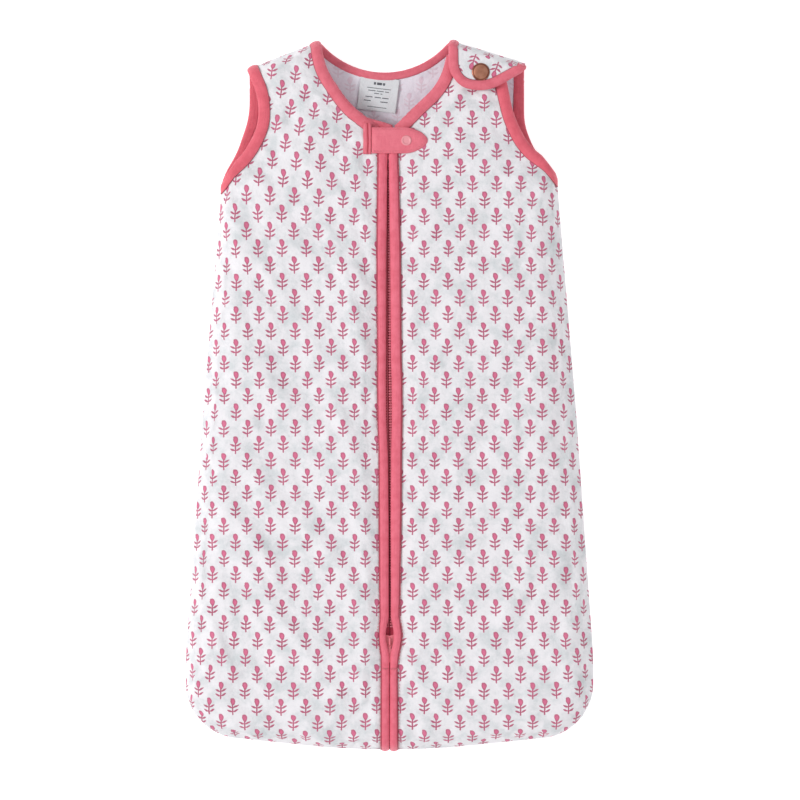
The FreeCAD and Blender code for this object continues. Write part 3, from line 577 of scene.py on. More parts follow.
def sprig_group():
    """Node group: cloth position in millimetres to the ink's cover and its inner shade."""
    group = bpy.data.node_groups.new("sprig print", "ShaderNodeTree")
    face = group.interface
    face.new_socket("Cloth", in_out="INPUT", socket_type="NodeSocketVector")
    face.new_socket("Ink", in_out="OUTPUT", socket_type="NodeSocketFloat")
    face.new_socket("Core", in_out="OUTPUT", socket_type="NodeSocketFloat")
    face.new_socket("Cell", in_out="OUTPUT", socket_type="NodeSocketFloat")
    n = Nodes(group)
    enter = n.new("NodeGroupInput")
    leave = n.new("NodeGroupOutput")
    wobble = n.new("ShaderNodeTexNoise")
    n.put(enter.outputs[0], wobble.inputs["Vector"])
    wobble.inputs["Scale"].default_value = 0.35
    nudge = n.new("ShaderNodeVectorMath", operation="MULTIPLY_ADD")
    n.put(wobble.outputs["Color"], nudge.inputs[0])
    nudge.inputs[1].default_value = (0.9, 0.9, 0)
    n.put(enter.outputs[0], nudge.inputs[2])
    split = n.new("ShaderNodeSeparateXYZ")
    n.put(nudge.outputs[0], split.inputs[0])
    covers, cores, cells = [], [], []
    for shift in (0.0, 0.5):
        u = n.maths("ADD", n.maths("DIVIDE", split.outputs[0], REPEAT_X), shift)
        v = n.maths("ADD", n.maths("DIVIDE", split.outputs[1], REPEAT_Y), shift)
        column, row = n.maths("FLOOR", u), n.maths("FLOOR", v)
        x = n.maths("MULTIPLY", n.maths("SUBTRACT", n.maths("SUBTRACT", u, column), 0.5), REPEAT_X)
        y = n.maths("MULTIPLY", n.maths("SUBTRACT", n.maths("SUBTRACT", v, row), 0.5), REPEAT_Y)
        place = n.new("ShaderNodeCombineXYZ")
        n.put(column, place.inputs[0])
        n.put(row, place.inputs[1])
        place.inputs[2].default_value = shift * 7 + 1
        chance = n.new("ShaderNodeTexWhiteNoise", noise_dimensions="3D")
        n.put(place.outputs[0], chance.inputs[0])
        side = n.maths("ABSOLUTE", x)
        # stem
        below = n.maths("SUBTRACT", -7.6, y)
        above = n.maths("SUBTRACT", y, 2.0)
        beyond = n.maths("MAXIMUM", n.maths("MAXIMUM", below, above), 0.0)
        shape = n.maths("SUBTRACT", n.length(side, beyond), 0.66)
        # leaves: strokes that rise outwards, thickest in the middle
        rise = n.maths("MULTIPLY", side, n.maths("MULTIPLY_ADD", side, 0.03, 0.27))
        tilted = n.maths("SUBTRACT", n.maths("MULTIPLY_ADD", x, -0.07, y), rise)
        for foot, reach in LEAVES:
            swell = n.ramp(side, 0.4, 2.4, 0.45, 0.98)
            fat = n.maths("MINIMUM", swell, n.ramp(side, 3.4, reach, 0.98, 0.4))
            off = n.maths("SUBTRACT", n.maths("ABSOLUTE", n.maths("SUBTRACT", tilted, foot)), fat)
            leaf = n.maths("MAXIMUM", off, n.maths("SUBTRACT", side, reach))
            shape = n.maths("MINIMUM", shape, leaf)
        # bud: an oval that leans and narrows at the foot, with a small hook at its upper left
        lean = n.maths("MULTIPLY_ADD", y, 0.07, n.maths("SUBTRACT", x, 0.4))
        narrow = n.ramp(y, 1.6, 5.6, 1.2, 0.92)
        bx = n.maths("DIVIDE", n.maths("MULTIPLY", lean, narrow), 2.3)
        by = n.maths("DIVIDE", n.maths("SUBTRACT", y, 4.7), 3.5)
        bud = n.maths("MULTIPLY", n.maths("SUBTRACT", n.length(bx, by), 1.0), 2.2)
        hook = n.length(n.maths("ADD", x, 1.25), n.maths("SUBTRACT", y, 7.0))
        hook = n.maths("SUBTRACT", hook, 1.15)
        bud = n.maths("MINIMUM", bud, hook)
        shape = n.maths("MINIMUM", shape, bud)
        ink = n.ramp(shape, 0.28, -0.22)
        covers.append(ink)
        cores.append(n.ramp(bud, -0.2, -1.3))
        cells.append(n.maths("MULTIPLY", ink, chance.outputs["Value"]))
    n.put(n.maths("MAXIMUM", *covers), leave.inputs[0])
    n.put(n.maths("MAXIMUM", *cores), leave.inputs[1])
    n.put(n.maths("MAXIMUM", *cells), leave.inputs[2])
    return group


SPRIG = sprig_group()


def printed_cloth(name, show=1.0, ground=(243, 240, 243), tint=(206, 212, 214)):
    """White cotton with the sprig. A low show is the print seen through from the other face."""
    made, n, shader = material(name)
    uv = cloth_uv(n)
    sprig = n.new("ShaderNodeGroup", node_tree=SPRIG)
    n.put(uv, sprig.inputs[0])
    # painted shade: soft patches of the white turn towards the grey-green tint, standing in for the
    # soft shading of the lying cloth
    mottle = n.ramp(n.noise(uv, 0.045, 5.0, 0.66), 0.4, 0.72, 0.0, 0.8)
    white = n.mix(mottle, rgb(*ground), rgb(*tint))
    ink = n.mix(sprig.outputs["Core"], rgb(182, 80, 112), rgb(222, 102, 142))
    ink = n.mix(n.maths("MULTIPLY", sprig.outputs["Cell"], 0.4), ink, rgb(214, 108, 142))
    thread = n.noise(uv, 2.2, 2.0, 0.6)
    worn = n.ramp(thread, 0.25, 0.6, 0.78, 1.0)
    cover = n.maths("MULTIPLY", n.maths("MULTIPLY", sprig.outputs["Ink"], worn), show)
    n.put(n.mix(cover, white, ink), shader.inputs["Base Color"])
    shader.inputs["Roughness"].default_value = 0.82
    shader.inputs["Sheen Weight"].default_value = 0.12
    shader.inputs["Sheen Roughness"].default_value = 0.5
    shader.inputs["Specular IOR Level"].default_value = 0.25
    rumple = n.noise(uv, 0.16, 3.0, 0.55)
    height = n.maths("MULTIPLY_ADD", weave(n, uv, 0.55), 0.06, n.maths("MULTIPLY", rumple, 1.0))
    height = n.maths("MULTIPLY_ADD", thread, 0.07, height)
    bump(n, shader, height, 0.0012)
    return made


def sateen(name, colour, shade, tuck=()):
    """Dyed cotton sateen, creased along its length; its tuck bands across the width are painted
    shadow, darkening it where it meets the cloth it is sewn to.
    """
    made, n, shader = material(name)
    uv = cloth_uv(n)
    along = n.noise(n.stretch(uv, 0.05, 0.55), 1.0, 3.0, 0.6)
    across = n.noise(n.stretch(uv, 0.5, 0.12), 1.0, 2.0, 0.5)
    patch = n.ramp(n.noise(uv, 0.12, 3.0, 0.6), 0.3, 0.72)
    fine = n.noise(uv, 3.0, 2.0, 0.6)
    colour_a = n.mix(patch, rgb(*colour), rgb(*shade))
    dark = tuple(0.62 * c for c in rgb(*shade)[:3]) + (1.0,)
    fleck = n.ramp(fine, 0.55, 0.8, 0.0, 0.22)
    colour_a = n.mix(fleck, colour_a, dark)
    across_cloth = n.new("ShaderNodeSeparateXYZ")
    n.put(uv, across_cloth.inputs[0])
    # painted shadow: each tuck band darkens the colour towards deep red across part of the width, for
    # the shade along the sewn edge
    for light_end, dark_end in tuck:
        depth = n.ramp(across_cloth.outputs[1], light_end, dark_end, 0.0, 0.75)
        colour_a = n.mix(depth, colour_a, rgb(150, 38, 58))
    n.put(colour_a, shader.inputs["Base Color"])
    n.put(n.ramp(along, 0.3, 0.7, 0.44, 0.62), shader.inputs["Roughness"])
    shader.inputs["Sheen Weight"].default_value = 0.35
    shader.inputs["Sheen Roughness"].default_value = 0.4
    shader.inputs["Sheen Tint"].default_value = rgb(255, 190, 200)
    shader.inputs["Specular IOR Level"].default_value = 0.4
    height = n.maths("MULTIPLY_ADD", along, 0.8, n.maths("MULTIPLY", across, 0.5))
    height = n.maths("MULTIPLY_ADD", weave(n, uv, 0.5), 0.09, height)
    bump(n, shader, height, 0.0008)
    return made


def plain_cloth(name, colour, shade, scale=0.3, rough=0.85, pitch=0.6):
    """Dyed cloth in two near colours, with its weave."""
    made, n, shader = material(name)
    uv = cloth_uv(n)
    n.put(n.mix(n.noise(uv, scale, 3.0, 0.6), rgb(*colour), rgb(*shade)), shader.inputs["Base Color"])
    shader.inputs["Roughness"].default_value = rough
    shader.inputs["Sheen Weight"].default_value = 0.2
    height = n.maths("MULTIPLY_ADD", weave(n, uv, pitch), 0.3, n.noise(uv, 0.8, 2.0))
    bump(n, shader, height, 0.0004)
    return made


def metal(name, colour, dark, rough, along=(1.0, 1.0, 1.0), metallic=1.0):
    """Brushed metal or enamel, with fine lines and a little tarnish."""
    made, n, shader = material(name)
    where = n.new("ShaderNodeTexCoord").outputs["Object"]
    lines = n.noise(n.stretch(where, *[900 * a for a in along]), 1.0, 3.0)
    tarnish = n.ramp(n.noise(where, 180.0, 2.0), 0.3, 0.8)
    n.put(n.mix(tarnish, rgb(*colour), rgb(*dark)), shader.inputs["Base Color"])
    shader.inputs["Metallic"].default_value = metallic
    n.put(n.ramp(lines, 0.3, 0.7, rough - 0.08, rough + 0.1), shader.inputs["Roughness"])
    bump(n, shader, lines, 0.00003)
    return made


PRINT = printed_cloth("printed cotton")
LINING = printed_cloth("cotton lining", show=0.2, ground=(243, 238, 247), tint=(232, 225, 236))
# tuck bands are painted shadow: on the bindings along the edge sewn to the cloth, on the plackets
# along each strip's outer edge
NECK_ROSE = sateen("neck binding sateen", (236, 118, 134), (224, 104, 120), tuck=[(1.0, 0.3)])
ARM_ROSE = sateen("armhole binding sateen", (236, 106, 122), (224, 94, 110), tuck=[(1.0, 0.3)])
PLACKET_ROSE = sateen("placket sateen", (242, 118, 138), (230, 102, 122), tuck=[(7.9, 8.8)])
TAB_ROSE = sateen("guard tab sateen", (241, 124, 140), (233, 112, 130))
THREAD = plain_cloth("sewing thread", (236, 128, 142), (220, 104, 120), 3.0, 0.6, 0.3)
TAPE = plain_cloth("zip tape", (196, 52, 78), (168, 36, 62), 1.4, 0.8, 0.7)
LABEL = plain_cloth("label satin", (242, 245, 247), (232, 236, 240), 1.0, 0.55, 0.35)
LABEL_INK = plain_cloth("label weave", (104, 108, 116), (84, 88, 96), 1.5, 0.7, 0.35)
COPPER = metal("brushed copper", (214, 152, 126), (190, 124, 100), 0.36, (1.0, 0.05, 1.0))
# painted shade: a darker copy of the copper for the cap's outer rim
COPPER_RIM = metal("copper rim", (164, 104, 84), (128, 76, 60), 0.38)
ROSE_CAP = metal("rose ring snap", (238, 158, 166), (228, 146, 155), 0.42, metallic=0.0)
SNAP_METAL = metal("snap metal", (190, 160, 140), (140, 112, 96), 0.3)
ENAMEL = metal("zip enamel", (238, 128, 140), (224, 110, 124), 0.38, metallic=0.0)
COIL = metal("zip coil nylon", (248, 138, 154), (232, 112, 130), 0.42, metallic=0.0)


def object_cloth(name, colour, shade):
    """Dyed cloth for a CAD piece, which has no flat cloth position."""
    made, n, shader = material(name)
    where = n.new("ShaderNodeTexCoord").outputs["Object"]
    n.put(n.mix(n.noise(where, 300.0, 3.0), rgb(*colour), rgb(*shade)), shader.inputs["Base Color"])
    shader.inputs["Roughness"].default_value = 0.85
    bump(n, shader, n.noise(where, 1600.0, 2.0), 0.0003)
    return made


CAD_WHITE = object_cloth("overlocked edge", (232, 228, 234), (214, 208, 216))
CAD_ROSE = object_cloth("zip cover cloth", (188, 72, 92), (168, 60, 80))

# -------------------------------------------------------------------- cloth pieces


def near(line):
    """Drops the parts of a line that are far outside the bag."""
    return line[(np.abs(line[:, 0]) < 232) & (line[:, 1] > -374) & (line[:, 1] < 376)]


def strap_line(inset):
    """Two points on a line parallel to the right shoulder, this far inside it."""
    a, b = np.array(SHOULDER_LINE[0]), np.array(SHOULDER_LINE[1])
    along = unit(b - a)
    across = np.array([along[1], -along[0]])
    start = a + across * inset
    return start + along * 40, start + along * 210


def beyond(p, a, b):
    """Which points are past the line, on the shoulder's side."""
    d = b - a
    return (d[0] * (p[:, 1] - a[1]) - d[1] * (p[:, 0] - a[0])) > 0


def fold_blend(obj):
    """Bakes a front piece's placement into its mesh."""
    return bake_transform(obj)


def assign(obj, slot, *nodes, body=None, side=None):
    """Hides the CAD nodes a piece stands for; with a side it bakes the piece's placement into its
    mesh, and without one it parents it to the body's empty. The slot is not used.
    """
    if nodes:
        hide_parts(*nodes)
    if side:
        fold_blend(obj)
    else:
        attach(obj, body)


class Build:
    """Gathers parts of one mesh: points in millimetres, faces, cloth position, slot."""

    def __init__(self):
        self.points, self.faces, self.uv, self.slots, self.count = [], [], [], [], 0

    def add(self, points, faces, uv, slot=0):
        points = np.asarray(points, float)
        self.faces += [tuple(int(i) + self.count for i in f) for f in faces]
        self.slots += [slot] * len(faces)
        self.points.append(points)
        self.uv.append(np.asarray(uv, float))
        self.count += len(points)

    def sweep(self, rings, u, v, slot=0):
        """A closed tube through rings of points, with flat ends."""
        rows, around = rings.shape[:2]
        faces = []
        for i in range(rows - 1):
            for k in range(around):
                j = (k + 1) % around
                a = i * around
                faces.append((a + k, a + j, a + around + j, a + around + k))
        faces.append(tuple(range(around))[::-1])
        faces.append(tuple((rows - 1) * around + k for k in range(around)))
        uv = np.stack(np.broadcast_arrays(u[:, None], v[None, :]), 2).reshape(-1, 2)
        self.add(rings.reshape(-1, 3), faces, uv, slot)

    def move(self, x):
        """Shifts all that has been added across the bag."""
        for block in self.points:
            block[:, 0] += x

    def finish(self, name, materials):
        points, uv = np.vstack(self.points), np.vstack(self.uv)
        return mesh_object(name, points, self.faces, uv, materials, self.slots)


def spread(x, y, z):
    """Points from three coordinates, of which some may be single numbers."""
    return np.column_stack(np.broadcast_arrays(x, y, z))


def outward_faces(obj):
    """Turns every face of a closed mesh outwards."""
    work = bmesh.new()
    work.from_mesh(obj.data)
    bmesh.ops.recalc_face_normals(work, faces=work.faces)
    work.to_mesh(obj.data)
    work.free()
    return obj


def stitches(build, path, inward, skin, offset, height):
    """A row of sewn stitches on the skin, parallel to a path."""
    line = resampled(path + inward * offset, STITCH_PITCH)
    centre = skin.lift(line, np.full(len(line), height))
    up = skin.normal(line)
    forward = unit(np.gradient(centre, axis=0))
    side = np.cross(up, forward)
    for c, f, s, n in zip(centre, forward, side, up):
        rings = []
        for along, fat in ((-0.5, 0.35), (-0.32, 0.9), (0.32, 0.9), (0.5, 0.35)):
            ring = []
            for k in range(6):
                a = math.pi / 3 * k
                round_it = s * math.cos(a) + 0.7 * n * math.sin(a)
                ring.append(c + f * along * STITCH_LENGTH + fat * THREAD_RADIUS * round_it)
            rings.append(ring)
        build.sweep(np.array(rings), np.arange(4.0), np.arange(6.0), 1)


def binding_section(width, grip, swell=1.0):
    """Section of a binding: distance in from the edge, and height over the skin."""
    crown = [(1 - t, 1.95 * swell * math.sin(math.pi * t) ** 0.62) for t in np.linspace(0, 1, 13)]
    w, g = width, grip
    over = [(0.3 + (w - 0.2) * share, high) for share, high in crown]
    under = [
        (-0.3, -0.8), (-0.5, -g / 2), (-0.35, 0.8 - g), (0.2, -g - 0.25), (1.0, -g - 0.7),
        (w * 0.35, -g - 0.95), (w * 0.65, -g - 0.9), (w - 0.9, -g - 0.7), (w - 0.2, -g - 0.05),
        (w - 1.2, -g + 0.1), (1.8, -g + 0.1), (1.0, -g / 2), (1.8, -0.1), (w - 1.2, -0.1),
    ]
    return np.array(over + under)


def along_loop(loop, skin_loop, limit, margin):
    """The run of an opening's edge that lies on the cloth, with its direction into the cloth."""
    depth = skin_loop.nearest(loop.points)[0]
    held = (depth > -margin) & limit(loop.points)
    run = [next(i for i in range(len(held)) if held[i] and not held[i - 1])]
    while held[(run[-1] + 1) % len(held)]:
        run.append((run[-1] + 1) % len(held))
    path = resampled(loop.points[run], EDGE_STEP)
    for _ in range(3):
        path[1:-1] = (path[:-2] + 2 * path[1:-1] + path[2:]) / 4
    tangent = unit(np.gradient(path, axis=0))
    inward = np.stack([tangent[:, 1], -tangent[:, 0]], 1)
    return path, inward


def binding(name, path, inward, skin, width, grip, cloth, seed, swell=1.0):
    """A folded binding along a cut edge, with its row of stitches."""
    section = binding_section(width, grip, swell)
    along = lengths(path)
    rings = []
    ease = 0.14 * ripple(seed, along, 7.0)
    ease += 0.1 * ripple(seed + 1, along, 3.1)
    sway = 0.25 * ripple(seed + 2, along, 16.0)
    ends = 0.25 + 0.75 * smooth(np.minimum(along, along[-1] - along), 0, 7)
    for offset, height in section:
        slide = sway if offset > width * 0.6 else 0 * sway
        flat = path + inward * (offset + slide)[:, None]
        rings.append(skin.lift(flat, (height + ease) * ends if height > 0.3 else height + 0 * ease))
    rings = np.stack(rings, 1)
    v = np.concatenate([[0], np.cumsum(np.linalg.norm(np.diff(section, axis=0), axis=1))])
    build = Build()
    build.sweep(rings, along, v)
    stitches(build, path, inward, skin, width - 0.9, 0.75 * swell)
    return outward_faces(build.finish(name, [cloth, THREAD]))


def grown(loop, amount):
    """The loop, set out by this much."""
    return Loop(loop.points - loop.inward * amount)


def panel_thickness(flat, skin, openings, thick, bound, seam):
    """Thickness of the padded cloth: thin at the seam, pinched under the bindings."""
    depth, foot, _ = OUTLINE.nearest(flat)
    reach, arc = skin.rim(foot)
    down = depth + arc - reach - SEAM_INSET
    t = seam + (thick - seam) * smooth(down, 0, 26)
    for loop in openings:
        gap = -loop.nearest(flat)[0]
        t = np.minimum(t, bound + (thick - bound) * smooth(gap, 10, 24))
    return t


def print_position(flat, side):
    """Where the print falls on the cloth: on the left front its rows slope down to the right."""
    x, y = flat[:, 0], flat[:, 1]
    steps = np.linspace(-400, 420, 400)
    slope = {"left": 0.16, "right": 0.0, "back": 0.0}[side] * smooth(steps, 120, 330)
    drift = np.concatenate([[0], np.cumsum((slope[1:] + slope[:-1]) / 2 * np.diff(steps))])
    k = np.interp(y, steps, slope)
    u = x - np.interp(y, steps, drift) + 0.5 * noise(21, flat, 60)
    v = y + k * (x + 10) + 0.5 * noise(22, flat, 55)
    return np.column_stack([u, v])


CREASE_DEPTH = 2.2
# direction of the soft folds between the creases, and how high they stand
DRAPE = {"left": (-57, 1.8), "right": (72, 1.3)}
# each fold: middle x and y, direction in degrees, length, width, height
CREASES = {
    "left": [
        (-120, -190, -54, 60, 7, 1.4),
        (-90, -235, -57, 52, 6, 1.2),
        (-127, -148, -52, 46, 7, 1.3),
        (-60, -150, -52, 60, 8, 1.0),
        (-100, -60, -56, 62, 9, -1.0),
        (-50, -20, -60, 52, 7, 1.1),
        (-128, 20, -55, 46, 9, 0.9),
        (-36, 90, -74, 60, 6, 1.2),
        (-28, 150, -80, 46, 5, -1.0),
        (-70, 120, -60, 50, 9, 0.9),
        (-105, 170, -50, 42, 9, -0.8),
        (-84, 260, -70, 34, 8, 0.8),
        (-40, -280, 24, 40, 6, 1.0),
        (-26, -310, 30, 24, 4, 0.9),
        (-150, -262, 52, 34, 7, 1.0),
        (-163, -234, -60, 36, 5, 1.3),
        (-22, -170, -84, 40, 4, 0.9),
    ],
    "right": [
        (60, -270, 150, 46, 8, 0.9),
        (30, -306, 146, 24, 4, 0.9),
        (120, -190, 66, 60, 12, 0.8),
        (86, -60, 74, 70, 13, -0.7),
        (140, 20, 78, 52, 10, 0.7),
        (60, 90, 84, 60, 11, 0.6),
        (104, 190, 66, 40, 9, -0.7),
        (24, -150, 86, 50, 5, 0.7),
        (22, 60, 88, 60, 5, 0.6),
        (160, -250, 128, 34, 8, 0.8),
    ],
}


def creases(flat, side):
    """Soft folds of the front as it lies, as height over the smooth skin."""
    x, y = flat[:, 0], flat[:, 1]
    lift = np.zeros(len(flat))
    for cx, cy, angle, long, wide, high in CREASES[side]:
        a = math.radians(angle)
        u = (x - cx) * math.cos(a) + (y - cy) * math.sin(a)
        v = -(x - cx) * math.sin(a) + (y - cy) * math.cos(a)
        v = v + 0.0016 * u * u + 2.5 * np.sin(u / 23 + cx)
        lift += CREASE_DEPTH * high * np.exp(-((u / long) ** 2)) * np.exp(-((v / wide) ** 2))
    heading, drape = DRAPE[side]
    a = math.radians(heading)
    along = x * math.cos(a) + y * math.sin(a)
    across = -x * math.sin(a) + y * math.cos(a)
    lift += drape * noise(28, np.column_stack([along / 3.2, across]), 17)
    lift += 0.5 * drape * noise(30, np.column_stack([along / 2.6, across]), 9)
    return lift + 0.3 * noise(29, flat, 12)


def settle(obj, held):
    """Lets a front's cloth, cut slightly full, buckle and puff between its seams."""
    scene = bpy.context.scene
    group = obj.vertex_groups.new(name="held")
    for level in np.unique(np.round(held, 2)):
        index = np.nonzero(np.round(held, 2) == level)[0].tolist()
        group.add(index, float(level), "REPLACE")
    gravity = tuple(scene.gravity)
    scene.gravity = (0, 0, PUFF)
    cloth = obj.modifiers.new("cloth", "CLOTH")
    work = cloth.settings
    work.quality = 5
    work.mass = 0.2
    work.tension_stiffness = 30
    work.compression_stiffness = 30
    work.shear_stiffness = 12
    work.bending_stiffness = 1.2
    work.shrink_min = -FULLNESS
    work.shrink_max = -FULLNESS
    work.vertex_group_mass = "held"
    work.pin_stiffness = 0.6
    cloth.collision_settings.use_collision = False
    cloth.collision_settings.use_self_collision = False
    cloth.point_cache.frame_start = 1
    cloth.point_cache.frame_end = SETTLE_FRAMES
    for step in range(1, SETTLE_FRAMES + 1):
        scene.frame_set(step)
    shape = obj.evaluated_get(bpy.context.evaluated_depsgraph_get())
    mesh = shape.to_mesh()
    points = np.empty(len(mesh.vertices) * 3)
    mesh.vertices.foreach_get("co", points)
    shape.to_mesh_clear()
    obj.modifiers.remove(cloth)
    scene.gravity = gravity
    scene.frame_set(1)
    return points.reshape(-1, 3) / MM


def front_panel(side):
    """One front: printed outside, wadding between, lining inside, from the side seam to the zip."""
    sign = -1 if side == "left" else 1
    seam = Loop(FRONT.seam_loop())
    openings = [FRONT_NECK, FRONT_ARM_LEFT if side == "left" else FRONT_ARM_RIGHT]
    cuts = [grown(loop, CUT_BACK) for loop in openings]
    y_zip = np.arange(-372, 268, 3.2)
    zip_edge = np.column_stack([strip_edge(side, y_zip, True) - sign * 2.4, y_zip])
    strap_a, strap_b = strap_line(STRAP_INSET)

    def keep(p):
        ok = seam.inside(p)
        for cut in cuts:
            ok &= ~cut.inside(p)
        ok &= sign * (p[:, 0] - np.interp(p[:, 1], zip_edge[:, 1], zip_edge[:, 0])) > 0
        if side == "right":
            ok &= ~beyond(p, strap_a, strap_b)
        return ok

    lines = [closed(seam.points), zip_edge] + [closed(cut.points) for cut in cuts]
    if side == "right":
        lines.append(resampled(np.array([strap_a, strap_b]), 3.0))
    lines = [near(line) for line in lines]
    flat, faces = cut_cloth(lines, keep, 3.7)
    edge_gap = np.abs(flat[:, 0] - np.interp(flat[:, 1], zip_edge[:, 1], zip_edge[:, 0]))
    base = FRONT.place(flat)
    out = FRONT.normal(flat)
    gaps = [-loop.nearest(flat)[0] for loop in openings]
    depth = seam.nearest(flat)[0]
    free = smooth(edge_gap, 3, 16) * smooth(depth, 4, 20)
    for gap in gaps:
        free = free * smooth(gap, 11, 26)
    groove = 1.5 * (1 - smooth(edge_gap, 2.0, 8.5))
    for gap in gaps:
        groove = groove + 0.9 * np.exp(-(((gap - 11.8) / 1.8) ** 2))
        groove = groove + 0.35 * noise(27, flat, 5.5) * np.exp(-(((gap - 14) / 6) ** 2))
    base = base - out * groove[:, None]
    fold = out * (creases(flat, side) * free)[:, None]
    uv = print_position(flat, side)
    outer = base + fold
    sheet = mesh_object("sheet", base, faces, uv)
    held = np.clip(1 - free, 0, 1)
    held = np.where(held < 0.9, 0.05 + 0.95 * held**3, 1.0)
    moved = settle(sheet, held)
    shift = np.sum((moved - base) * out, 1)
    shift = 3.2 * np.tanh(shift / 3.2)
    slide = (moved - base) - out * np.sum((moved - base) * out, 1)[:, None]
    slide = slide * np.minimum(1, 2.0 / np.maximum(np.linalg.norm(slide, axis=1), 1e-9))[:, None]
    outer = base + fold + out * shift[:, None] + slide
    bpy.data.objects.remove(sheet)
    thick = panel_thickness(flat, FRONT, openings, PANEL, BOUND, 1.4)
    thick = np.minimum(thick, 2.6 + (PANEL - 2.6) * smooth(edge_gap, 4, 22))
    inner = FRONT.lift(flat, -thick - groove)
    obj = quilted(
        f"front_{side}_panel", flat, faces, outer, inner, uv, [PRINT, LINING], LINING_SHIFT
    )
    layers = ("outer", "wadding", "lining")
    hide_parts(*[f"{part}_{k}" for part in (f"front_{side}", f"{side}_lapel") for k in layers])
    return fold_blend(obj)


def back_panel():
    """The back: printed underside, flat where it lies, with the lining upwards."""
    seam = Loop(BACK.seam_loop())
    openings = [BACK_NECK, BACK_ARM_LEFT, BACK_ARM_RIGHT]
    cuts = [grown(loop, CUT_BACK) for loop in openings]

    def keep(p):
        ok = seam.inside(p)
        for cut in cuts:
            ok &= ~cut.inside(p)
        return ok

    lines = [near(closed(seam.points))] + [near(closed(cut.points)) for cut in cuts]
    flat, faces = cut_cloth(lines, keep, 5.0)
    outer = BACK.place(flat)
    depth = seam.nearest(flat)[0]
    dimple = 0.35 * (0.5 + 0.5 * noise(31, flat, 30)) * smooth(depth, 8, 30)
    outer[:, 2] += dimple
    thick = panel_thickness(flat, BACK, openings, PANEL - 0.1, BOUND, 1.2)
    inner = BACK.lift(flat, -thick)
    rumple = 0.5 * noise(32, flat, 34) + 0.35 * noise(33, flat, 15)
    inner[:, 2] += rumple * smooth(depth, 10, 30)
    uv = print_position(flat, "back") * (-1, 1)
    obj = quilted("back_panel", flat, faces, outer, inner, uv, [PRINT, LINING], LINING_SHIFT)
    outward_faces(obj)
    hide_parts("back_outer", "back_wadding", "back_lining")
    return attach(obj, "bag")


def bindings():
    """Front neck, armholes and back neck."""
    seams = {FRONT: Loop(FRONT.seam_loop()), BACK: Loop(BACK.seam_loop())}
    strap_a, strap_b = strap_line(12.0)

    def left_neck(p):
        return (p[:, 0] < -8.5) & (p[:, 1] > 256)

    def right_neck(p):
        return (p[:, 0] > 3.0) & (p[:, 1] > 256) & ~beyond(p, strap_a, strap_b)

    def left_arm(p):
        return p[:, 0] < -100

    def right_arm(p):
        return (p[:, 0] > 100) & ~beyond(p, strap_a, strap_b)

    def back_arm(p):
        return np.abs(p[:, 0]) > 100

    def back_neck(p):
        return p[:, 1] < 345

    wide = 11.0
    # piece, edge, face, part of the edge, width, cloth, seed, and the front it belongs to
    rows = [
        ("left_neck_binding", FRONT_NECK, FRONT, left_neck, wide, NECK_ROSE, 41, "left"),
        ("right_neck_binding", FRONT_NECK, FRONT, right_neck, wide, NECK_ROSE, 44, "right"),
        ("front_left_armhole_binding", FRONT_ARM_LEFT, FRONT, left_arm, wide, ARM_ROSE, 47, None),
        ("front_right_armhole_binding", FRONT_ARM_RIGHT, FRONT, right_arm, wide, ARM_ROSE, 50, None),
        ("back_left_armhole_binding", BACK_ARM_LEFT, BACK, back_arm, 10.0, ARM_ROSE, 53, None),
        ("back_right_armhole_binding", BACK_ARM_RIGHT, BACK, back_arm, 10.0, ARM_ROSE, 56, None),
        ("back_neck_binding", BACK_NECK, BACK, back_neck, 7.8, NECK_ROSE, 59, None),
    ]
    for name, loop, skin, part, width, cloth, seed, side in rows:
        path, inward = along_loop(loop, seams[skin], part, 1.0 if side else 0.0)
        piece = binding(name, path, inward, skin, width, BOUND, cloth, seed)
        nodes = [name, f"{side}_shoulder_neck_binding"] if side else [name]
        assign(piece, "rose_satin", *nodes, body="bag", side=side)


def bar(build, a, b, radius, slot, sides=8):
    """A round-ended bar between two points."""
    a, b = np.array(a, float), np.array(b, float)
    f = unit(b - a)
    s = unit(np.cross((0.0, 0.0, 1.0), f))
    n = np.cross(f, s)
    rings = []
    long = np.linalg.norm(b - a)
    for t, k in ((0, 0.45), (0.12, 0.85), (0.3, 1.0), (0.7, 1.0), (0.88, 0.85), (1, 0.45)):
        ring = []
        for i in range(sides):
            angle = 2 * math.pi * i / sides
            ring.append(a + f * long * t + radius * k * (s * math.cos(angle) + n * math.sin(angle)))
        rings.append(ring)
    build.sweep(np.array(rings), np.arange(6.0), np.arange(float(sides)), slot)


